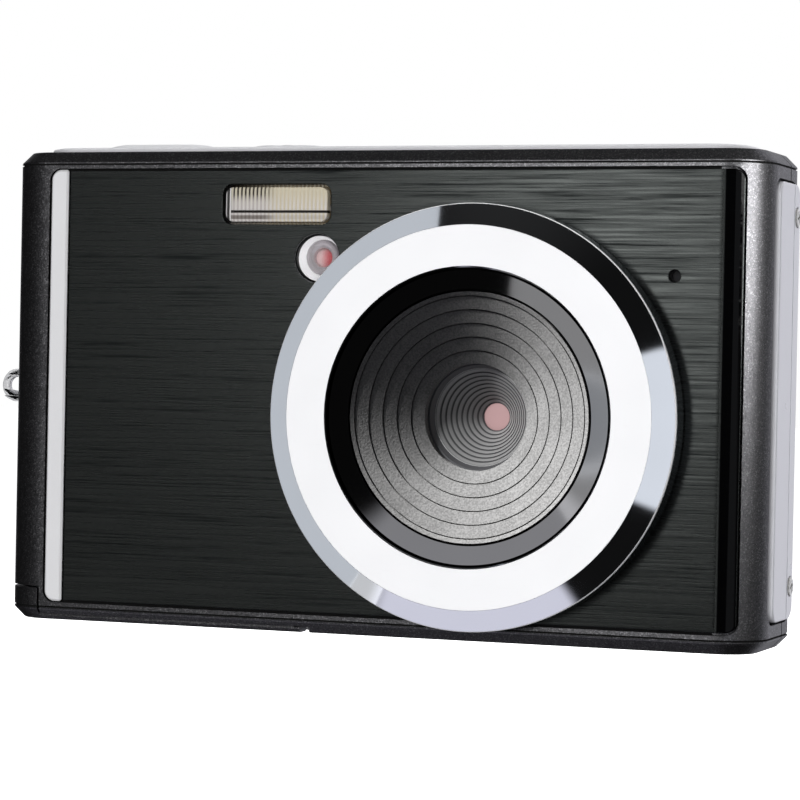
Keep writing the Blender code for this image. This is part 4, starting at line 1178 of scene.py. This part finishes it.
# ---------------- buttons
def top_buttons():
    low, high = box("shutter_button")
    outline = button_outline("shutter_button", 0.0)
    piece = cap("shutter_button_cap", outline, low.z + 0.8, high.z, 0.45, 0.3, ALONG_Z)
    finish(piece, "bright_silver", "top", "shutter_button", body="shutter")

    low, high = box("power_button")
    outline = button_outline("power_button", 0.0)
    piece = cap("power_button_cap", outline, low.z + 1.2, high.z, 0.3, 0.08, ALONG_Z)
    finish(piece, "bright_silver", "top", "power_button", body="power")
    middle = (low + high) / 2
    x, y = middle.x, middle.y
    ring = arc(x, y, 1.15, 125, 415, 40) + arc(x, y, 0.9, 415, 125, 40)
    bar = [(x - 0.13, y + 0.35), (x + 0.13, y + 0.35), (x + 0.13, y + 1.45), (x - 0.13, y + 1.45)]
    for name, outline in (("power_mark_ring", ring), ("power_mark_bar", bar)):
        piece = slab(name, [outline], (0, 0, high.z), ALONG_Z, 0.05)
        finish(piece, "matte_black", "dark_mark", body="power")


def rear_cap(name, outline, base, top, edge, crown):
    """A cap on the rear face: heights are along +Y."""
    levels = cap_levels(base, top, edge, crown, 1.8, (0.33, 0.66, 1.0))
    rings = [[(x, height, z) for x, z in outline(inset)] for inset, height in levels]
    return from_rings(name, rings)


def mark(name, body, outlines, y):
    """A thin dark mark printed on a rear key."""
    piece = slab(name, outlines, (0, y, 0), ALONG_FRONT, 0.06)
    finish(piece, "matte_black", "dark_mark", body=body)


def sector(inner, outer, middle, gap):
    """The outline of a quarter of the round pad, with even gaps beside it."""
    inner_half = 45 - math.degrees(math.asin(gap / inner))
    outer_half = 45 - math.degrees(math.asin(gap / outer))
    cx, cz = pad_middle.x, pad_middle.z
    return arc(cx, cz, outer, middle - outer_half, middle + outer_half, 20) + arc(
        cx, cz, inner, middle + inner_half, middle - inner_half, 14
    )


def bars(cx, cz, width, height, pitch, count):
    """Small flat bars one above the other."""
    offsets = [(i - (count - 1) / 2) * pitch for i in range(count)]
    return [centred(width, height, height * 0.45, cx, cz + o, 3) for o in offsets]


def small_key(node):
    """One of the four oval keys, with its mark."""
    low, high = box(node)
    middle = (low + high) / 2
    x, y, z = middle.x, high.y, middle.z
    width, height = high.x - low.x - 1.6, high.z - low.z - 1.6
    piece = rear_cap(
        node + "_cap",
        lambda i: centred(width - 2 * i, height - 2 * i, 2.1 - i * 0.9, x, z, 10),
        low.y + 0.5, y, 0.3, 0.08,
    )
    body = node.replace("_button", "")
    finish(piece, "grey_plastic", "key", node, body=body)
    if body == "playback":
        mark("playback_mark", body, [[(x - 0.8, z - 0.95), (x + 0.95, z), (x - 0.8, z + 0.95)]], y)
    elif body == "menu":
        for i, outline in enumerate(bars(x, z, 2.0, 0.28, 0.65, 3)):
            mark(f"menu_mark_{i}", body, [outline], y)
    elif body == "delete":
        can = [(x - 0.62, z - 0.95), (x + 0.62, z - 0.95), (x + 0.75, z + 0.4)]
        mark("delete_mark_can", body, [can + [(x - 0.75, z + 0.4)]], y)
        mark("delete_mark_lid", body, [centred(1.9, 0.24, 0.1, x, z + 0.75, 3)], y)
    else:
        mark("mode_mark", body, [centred(2.5, 1.7, 0.3, x, z, 4), circle(x, z, 0.48, 20)], y)


def pad_key(node, angle):
    """A direction key: a quarter of the round pad, with its arrow."""
    low, high = box(node)
    piece = rear_cap(
        node + "_cap",
        lambda i: sector(5.0 + i, 10.5 - i, angle, 0.3 + i),
        low.y + 0.5, high.y, 0.3, 0.06,
    )
    body = node.replace("_key", "")
    finish(piece, "grey_plastic", "key", node, body=body)
    arrow = turned(((8.55, 0.0), (7.25, 0.85), (7.25, -0.85)), angle)
    outline = [(pad_middle.x + x, pad_middle.z + z) for x, z in arrow]
    mark(node + "_mark", body, [outline], high.y)


def rear_controls():
    for node in KEYS:
        small_key(node)
    for node, angle in (("right_key", 0), ("up_key", 90), ("left_key", 180), ("down_key", 270)):
        pad_key(node, angle)

    low, high = box("ok_key")
    cx, cz = pad_middle.x, pad_middle.z
    piece = rear_cap(
        "ok_key_cap", lambda i: circle(cx, cz, 4.6 - i, 64), low.y + 0.5, high.y, 0.35, 0.08
    )
    finish(piece, "grey_plastic", "key", "ok_key", body="ok")
    mark("ok_mark", "ok", [circle(cx, cz, 1.5, 40), circle(cx, cz, 1.2, 40)], high.y)

    low, high = box("zoom_rocker")
    middle = (low + high) / 2
    piece = rear_cap(
        "zoom_rocker_cap",
        lambda i: centred(17.0 - 2 * i, 5.4 - 2 * i, 2.5 - i * 0.9, middle.x, middle.z, 12),
        low.y + 0.5, high.y, 0.4, 0.1,
    )
    grooves = []
    foot, head = middle.z - 1.5, middle.z + 1.5
    for side in (-1, 1):
        for i in range(4):
            x = middle.x + side * (4.6 + 0.75 * i)
            near = (x - 0.12, high.y - 0.22, foot)
            grooves.append(block("groove", near, (x + 0.12, BIG, head)))
    cut(piece, *grooves)
    finish(piece, "grey_plastic", "key", "zoom_rocker", body="zoom")

    low, high = box("lcd_window")
    width, height = high.x - low.x, high.z - low.z
    cx, cz = (low.x + high.x) / 2, (low.z + high.z) / 2
    piece = rear_cap(
        "screen_window",
        lambda i: centred(width - 2 * i, height - 2 * i, 1.5 - i * 0.6, cx, cz, 12),
        low.y, high.y, 0.15, 0.0,
    )
    finish(piece, "gloss_black", "screen", "lcd_window")


# ---------------- door, base and side fittings
def battery_cover():
    hinge = (pin_middle.x, 0, pin_middle.z)
    piece = chamfered_body("battery_door_skin")
    clip(piece, block("extent", (-BIG, -BIG, -BIG), (hinge[0] + 2.2, DOOR_REAR_Y, LIP_TOP_Z)))
    cut(piece, block("rim", (LIP_END_X, -BIG, -1), (BIG, -9.1, BIG)))
    cut(piece, block("step", (LIP_END_X, -9.5, 0.85), (BIG, -7.9, BIG)))
    hollow = [rounded(1.2 - HALF_WIDTH, 20.0, FRONT_Y + 1.2, 20.0, 4.3)]
    cut(piece, slab("hollow", hollow, (0, 0, DOOR_T + 5), ALONG_Z, 10.0))
    cut(piece, block("end_face", (DOOR_END_X, -BIG, -BIG), (BIG, BIG, BIG)))
    ears = ((-6.9, -5.0), (-0.3, 3.9))
    cut(piece, *[block("ear", (-10.4, near, -BIG), (BIG, far, BIG)) for near, far in ears])
    join(piece, drum("barrel", (hinge[0], -2.8, hinge[2]), ALONG_FRONT, 1.2, 4.4, 48))
    cut(piece, drum("bore", hinge, ALONG_FRONT, 0.65, 20.0, 24))
    grip = [centred(0.5, 4.2, 0.24, -39.5 + 1.4 * i, -2.2, 4) for i in range(5)]
    grip.append([(-43.2, -2.2), (-41.4, -0.9), (-41.4, -3.5)])
    cut(piece, *[slab("grip", [outline], (0, 0, 0), ALONG_Z, 0.3) for outline in grip])
    cut(piece, *rim_grooves())
    finish(piece, "painted_shell", "shell", "battery_door", body="door")
    # painted shade: the rim grooves turn near black
    paint_gap_shade(piece, in_groove)


def screw(name, place, direction, node):
    """A screw with a cross in its head."""
    head_r, shank_r = 1.1, 0.6
    profile = [(0.0, 0.0), (0.9 * head_r, 0.0), (0.98 * head_r, -0.04), (head_r, -0.14)]
    profile += [(head_r, -0.45), (shank_r, -0.5), (shank_r, -4.0), (0.0, -4.3)]
    piece = lathe(name, profile, place, direction, 40, closed=False)
    half, reach = 0.14, 0.74
    arm = ((half, -half), (reach, -half), (reach, half))
    outline = [point for i in range(4) for point in turned(arm, 20 + 90 * i)]
    cut(piece, slab("cross", [outline], place, direction, 0.84))
    finish(piece, "steel", "bright_steel", node)


def fittings():
    for side, direction in (("right", ALONG_X), ("left", ALONG_LEFT)):
        for node, middle in screw_places(side):
            low, high = box(node)
            x = high.x if side == "right" else low.x
            screw(node + "_cross", (x, middle.y, middle.z), direction, node)
    for end in ("inner", "outer"):
        node = "base_screw_" + end
        middle = middle_of(node)
        screw(node + "_cross", (middle.x, middle.y, box(node)[0].z), ALONG_DOWN, node)

    low, high = box("strap_eyelet")
    middle = (low + high) / 2
    x, z = low.x + 2.1, middle.z
    outer = [(x, z - 2.0), (-46.9, z - 1.9), (-46.9, z - 3.4), (-45.9, z - 3.4)]
    outer += [(-45.9, z + 3.4), (-46.9, z + 3.4), (-46.9, z + 1.9)]
    outlines = [outer + arc(x, z, 2.1, 90, 270, 28)[:-1], circle(x, z, 1.1, 40)]
    piece = slab("strap_eyelet_rounded", outlines, (0, middle.y, 0), ALONG_FRONT, 1.0)
    soft_edges(piece, 0.28, segments=4)
    finish(piece, "steel", "eyelet", "strap_eyelet")

    depth, bore, pitch = 5.2, 3.2, 0.62
    crest = bore - 0.32
    thread = []
    for i in range(int(depth / pitch) - 1):
        top = -0.5 - pitch * i
        thread += [(crest, top - pitch * 0.25), (crest, top - pitch * 0.4)]
        thread.append((bore, top - pitch * 0.8))
    bush = [(0.0, -depth), (bore, -depth)] + thread[::-1] + [(bore, -0.35), (bore + 0.3, 0.0)]
    bush += [(4.35, 0.0), (4.5, -0.15), (4.5, -6.5), (0.0, -6.5)]
    place = (bush_middle.x, bush_middle.y, 0)
    piece = lathe("tripod_bush_threaded", bush, place, ALONG_DOWN, 96, closed=False)
    finish(piece, "brass", "brass", "tripod_bush", sharp=25)

    cx, cy = (usb_low.x + usb_high.x) / 2, (usb_low.y + usb_high.y) / 2
    outline = centred(7.8, 2.9, 0.55, cx, cy)
    inner = centred(7.1, 2.2, 0.35, cx, cy)
    piece = slab("usb_socket_shell", [outline, inner], (0, 0, 3.05), ALONG_Z, 5.7)
    soft_edges(piece, 0.06)
    join(piece, slab("back", [outline], (0, 0, 5.6), ALONG_Z, 0.55))
    finish(piece, "steel", "steel", "usb_socket")
    piece = slab("usb_tongue", [centred(5.2, 0.7, 0.1, cx, cy, 3)], (0, 0, 3.2), ALONG_Z, 4.2)
    finish(piece, "matte_black", "matte")


front_casing()
rear_casing()
front_face()
trims()
lens_group()
flash_group()
top_buttons()
rear_controls()
battery_cover()
fittings()

# ---------------- inner pieces
INNER = {
    "board": ("main_board", "key_board", "sensor_board", "top_switch_board"),
    "steel": ("lcd_frame", "card_slot", "door_hinge_pin", "door_spring", "speaker"),
    "matte": ("battery_chamber", "lens_holder", "microphone"),
    "chip": ("image_sensor", "lcd_panel"),
    "wrap": ("flash_capacitor",),
    "cell": ("battery",),
    "brass": ("battery_contacts",),
    "orange": ("battery_latch",),
    "grey": ("door_carriage",),
}
for look, nodes in INNER.items():
    for node in nodes:
        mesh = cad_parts[node].data
        mesh.materials.clear()
        mesh.materials.append(LOOKS[look].material)


# ---------------- studio
def studio_world():
    """White to the camera; to the object, a dark room with soft panels round it."""
    world = bpy.data.worlds.new("studio")
    scene.world = world
    world.use_nodes = True
    nodes = Nodes(world.node_tree)
    tree = world.node_tree
    x, y, z = nodes.xyz(nodes.add("ShaderNodeTexCoord").outputs["Generated"])
    degrees = 180 / math.pi
    azimuth = nodes.times(nodes.maths("ARCTAN2", x, nodes.times(y, -1.0)), degrees)
    elevation = nodes.times(nodes.maths("ARCSINE", z), degrees)
    panels = (
        # azimuth low, high, soft low, soft high; elevation low, high, soft low, soft high; colour
        ((-45.5, -3, 1, 5), (14, 37, 3, 3), (0.58, 0.58, 0.60)),
        ((-75, 8, 14, 4), (-70, -42, 6, 4), (0.72, 0.71, 0.80)),
        ((23, 38, 3, 4), (-21, 16, 2, 2), (0.80, 0.83, 0.88)),
        ((140, 178, 12, 2), (-30, 45, 10, 10), (0.7, 0.7, 0.76)),
        ((112, 134, 8, 1.5), (-40, -4, 8, 8), (0.20, 0.21, 0.23)),
        ((-180, -140, 1, 12), (-10, 50, 10, 10), (0.5, 0.5, 0.52)),
    )
    ceiling = nodes.maths("MULTIPLY_ADD", nodes.smooth(elevation, 35, 80), 0.055, 0.006)
    total = nodes.scaled((1.0, 1.0, 1.0), ceiling)
    for across, tall, colour in panels:
        mask = nodes.times(nodes.window(azimuth, *across), nodes.window(elevation, *tall))
        total = nodes.vector("ADD", total, nodes.scaled(colour, mask))
    seen = nodes.add("ShaderNodeLightPath").outputs["Is Camera Ray"]
    output = tree.nodes["World Output"]
    room = tree.nodes["Background"]
    nodes.feed(room.inputs["Color"], total)
    white = nodes.add("ShaderNodeBackground")
    white.inputs["Color"].default_value = (1.0, 1.0, 1.0, 1.0)
    choose = nodes.add("ShaderNodeMixShader")
    nodes.feed(choose.inputs[0], seen)
    tree.links.new(room.outputs[0], choose.inputs[1])
    tree.links.new(white.outputs[0], choose.inputs[2])
    tree.links.new(choose.outputs[0], output.inputs["Surface"])


def lamp(name, place, target, size, power, glossy=False, only=(), skip=()):
    """A soft rectangular lamp that lights only some pieces, or skips some."""
    data = bpy.data.lights.new(name, "AREA")
    data.shape = "RECTANGLE"
    data.size, data.size_y = size[0] * MM, size[1] * MM
    data.energy = power
    light = bpy.data.objects.new(name, data)
    scene.collection.objects.link(light)
    aim = (Vector(target) - Vector(place)).to_track_quat("-Z", "Y")
    light.matrix_world = at(*place) @ aim.to_matrix().to_4x4()
    light.visible_camera = False
    light.visible_glossy = glossy
    if only or skip:
        receivers = bpy.data.collections.new(name + "_receivers")
        for piece in only or skip:
            receivers.objects.link(bpy.data.objects[piece])
        for link in receivers.collection_objects:
            link.light_linking.link_state = "INCLUDE" if only else "EXCLUDE"
        light.light_linking.receiver_collection = receivers
    return light


RING = ("lens_ring_face", "lens_ring_rim")
BAND = ("lens_gloss_band",)
CONE = ("lens_cone_grooved",)
HOOD = ("lens_hood_stepped",)
LENS = ("lens_front_element",)
PLATE = ("front_plate_brushed",)
SHELL = ("casing_front", "battery_door_skin")
CASING = SHELL + ("casing_rear",) + PLATE
BRIGHT = RING + BAND + ("lamp_window", "flash_window_clear")


def over_lens(y):
    """A point on the lens's axis."""
    return (LENS_X, y, LENS_Z)


studio_world()
lamp("fill_front", (60, -600, 60), (0, 0, 28), (500, 400), 3.5, skip=CONE + HOOD + LENS)
lamp("key_cone", (-382, -155, 453), over_lens(-12), (90, 90), 38.0, only=CONE)
lamp("key_hood", (-176, -427, 227), over_lens(-8), (60, 60), 3.3, only=HOOD)
lamp("lens_light", (74, -400, 50), over_lens(-3), (60, 60), 1.5, only=LENS)
# lamps that show as reflections: name, place, target, size, power and the pieces they light
REFLECTIONS = (
    ("corner_right", (108, -42, 66), (47, -9, 50), (50, 60), 0.105, CASING),
    ("plate_sweep", (-80, -390, 86), (30, -10, 34), (60, 150), 0.092, PLATE),
    ("plate_base", (-171, -480, 28), (0, -10, 28), (300, 300), 0.062, PLATE),
    ("plate_side", (-384, -404, -192), (0, -10, 30), (260, 260), 0.0425, PLATE),
    ("ring_base", (-319, -214, -288), over_lens(-14), (250, 46), 0.0235, RING),
    ("band_side", (-290, -409, -15), over_lens(-14), (132, 344), 0.0856, BAND),
    ("rim_sweep", (-56, -390, 90), (44, -10, 50), (60, 150), 0.42, SHELL),
    ("panel_left", (-345, -189, 81), over_lens(-14), (291, 780), 0.428, BRIGHT),
)
for name, place, target, size, power, pieces in REFLECTIONS:
    light = lamp(name, place, target, size, power, glossy=True, only=pieces)
    if name == "panel_left":
        light.visible_diffuse = False
        light.data.color = (0.96, 1.0, 1.05)
lamp("behind_right", (420, 220, 120), (48, 0, 30), (240, 240), 1.1)
lamp("above", (0, 60, 500), (0, 0, 30), (400, 300), 1.6)
lamp("rear_fill", (-60, 600, 160), (0, 0, 28), (500, 400), 1.6)

FLOOR_Z = -46.0
shape = bmesh.new()
bmesh.ops.create_grid(shape, x_segments=2, y_segments=2, size=4.0)
floor = link_mesh("floor", mesh_from("floor", shape), at(0, 0, FLOOR_Z))
floor_look = Look("floor_white", (0.9, 0.9, 0.9), 0.9)
floor_look.set("Emission Color", (1.0, 1.0, 1.0, 1.0))
floor_look.set("Emission Strength", 1.0)
floor_look.set("Specular IOR Level", 0.0)
floor.data.materials.append(floor_look.material)
floor.visible_glossy = False
floor.visible_diffuse = False
floor.visible_shadow = False

scene.view_settings.view_transform = "Standard"
scene.view_settings.look = "None"
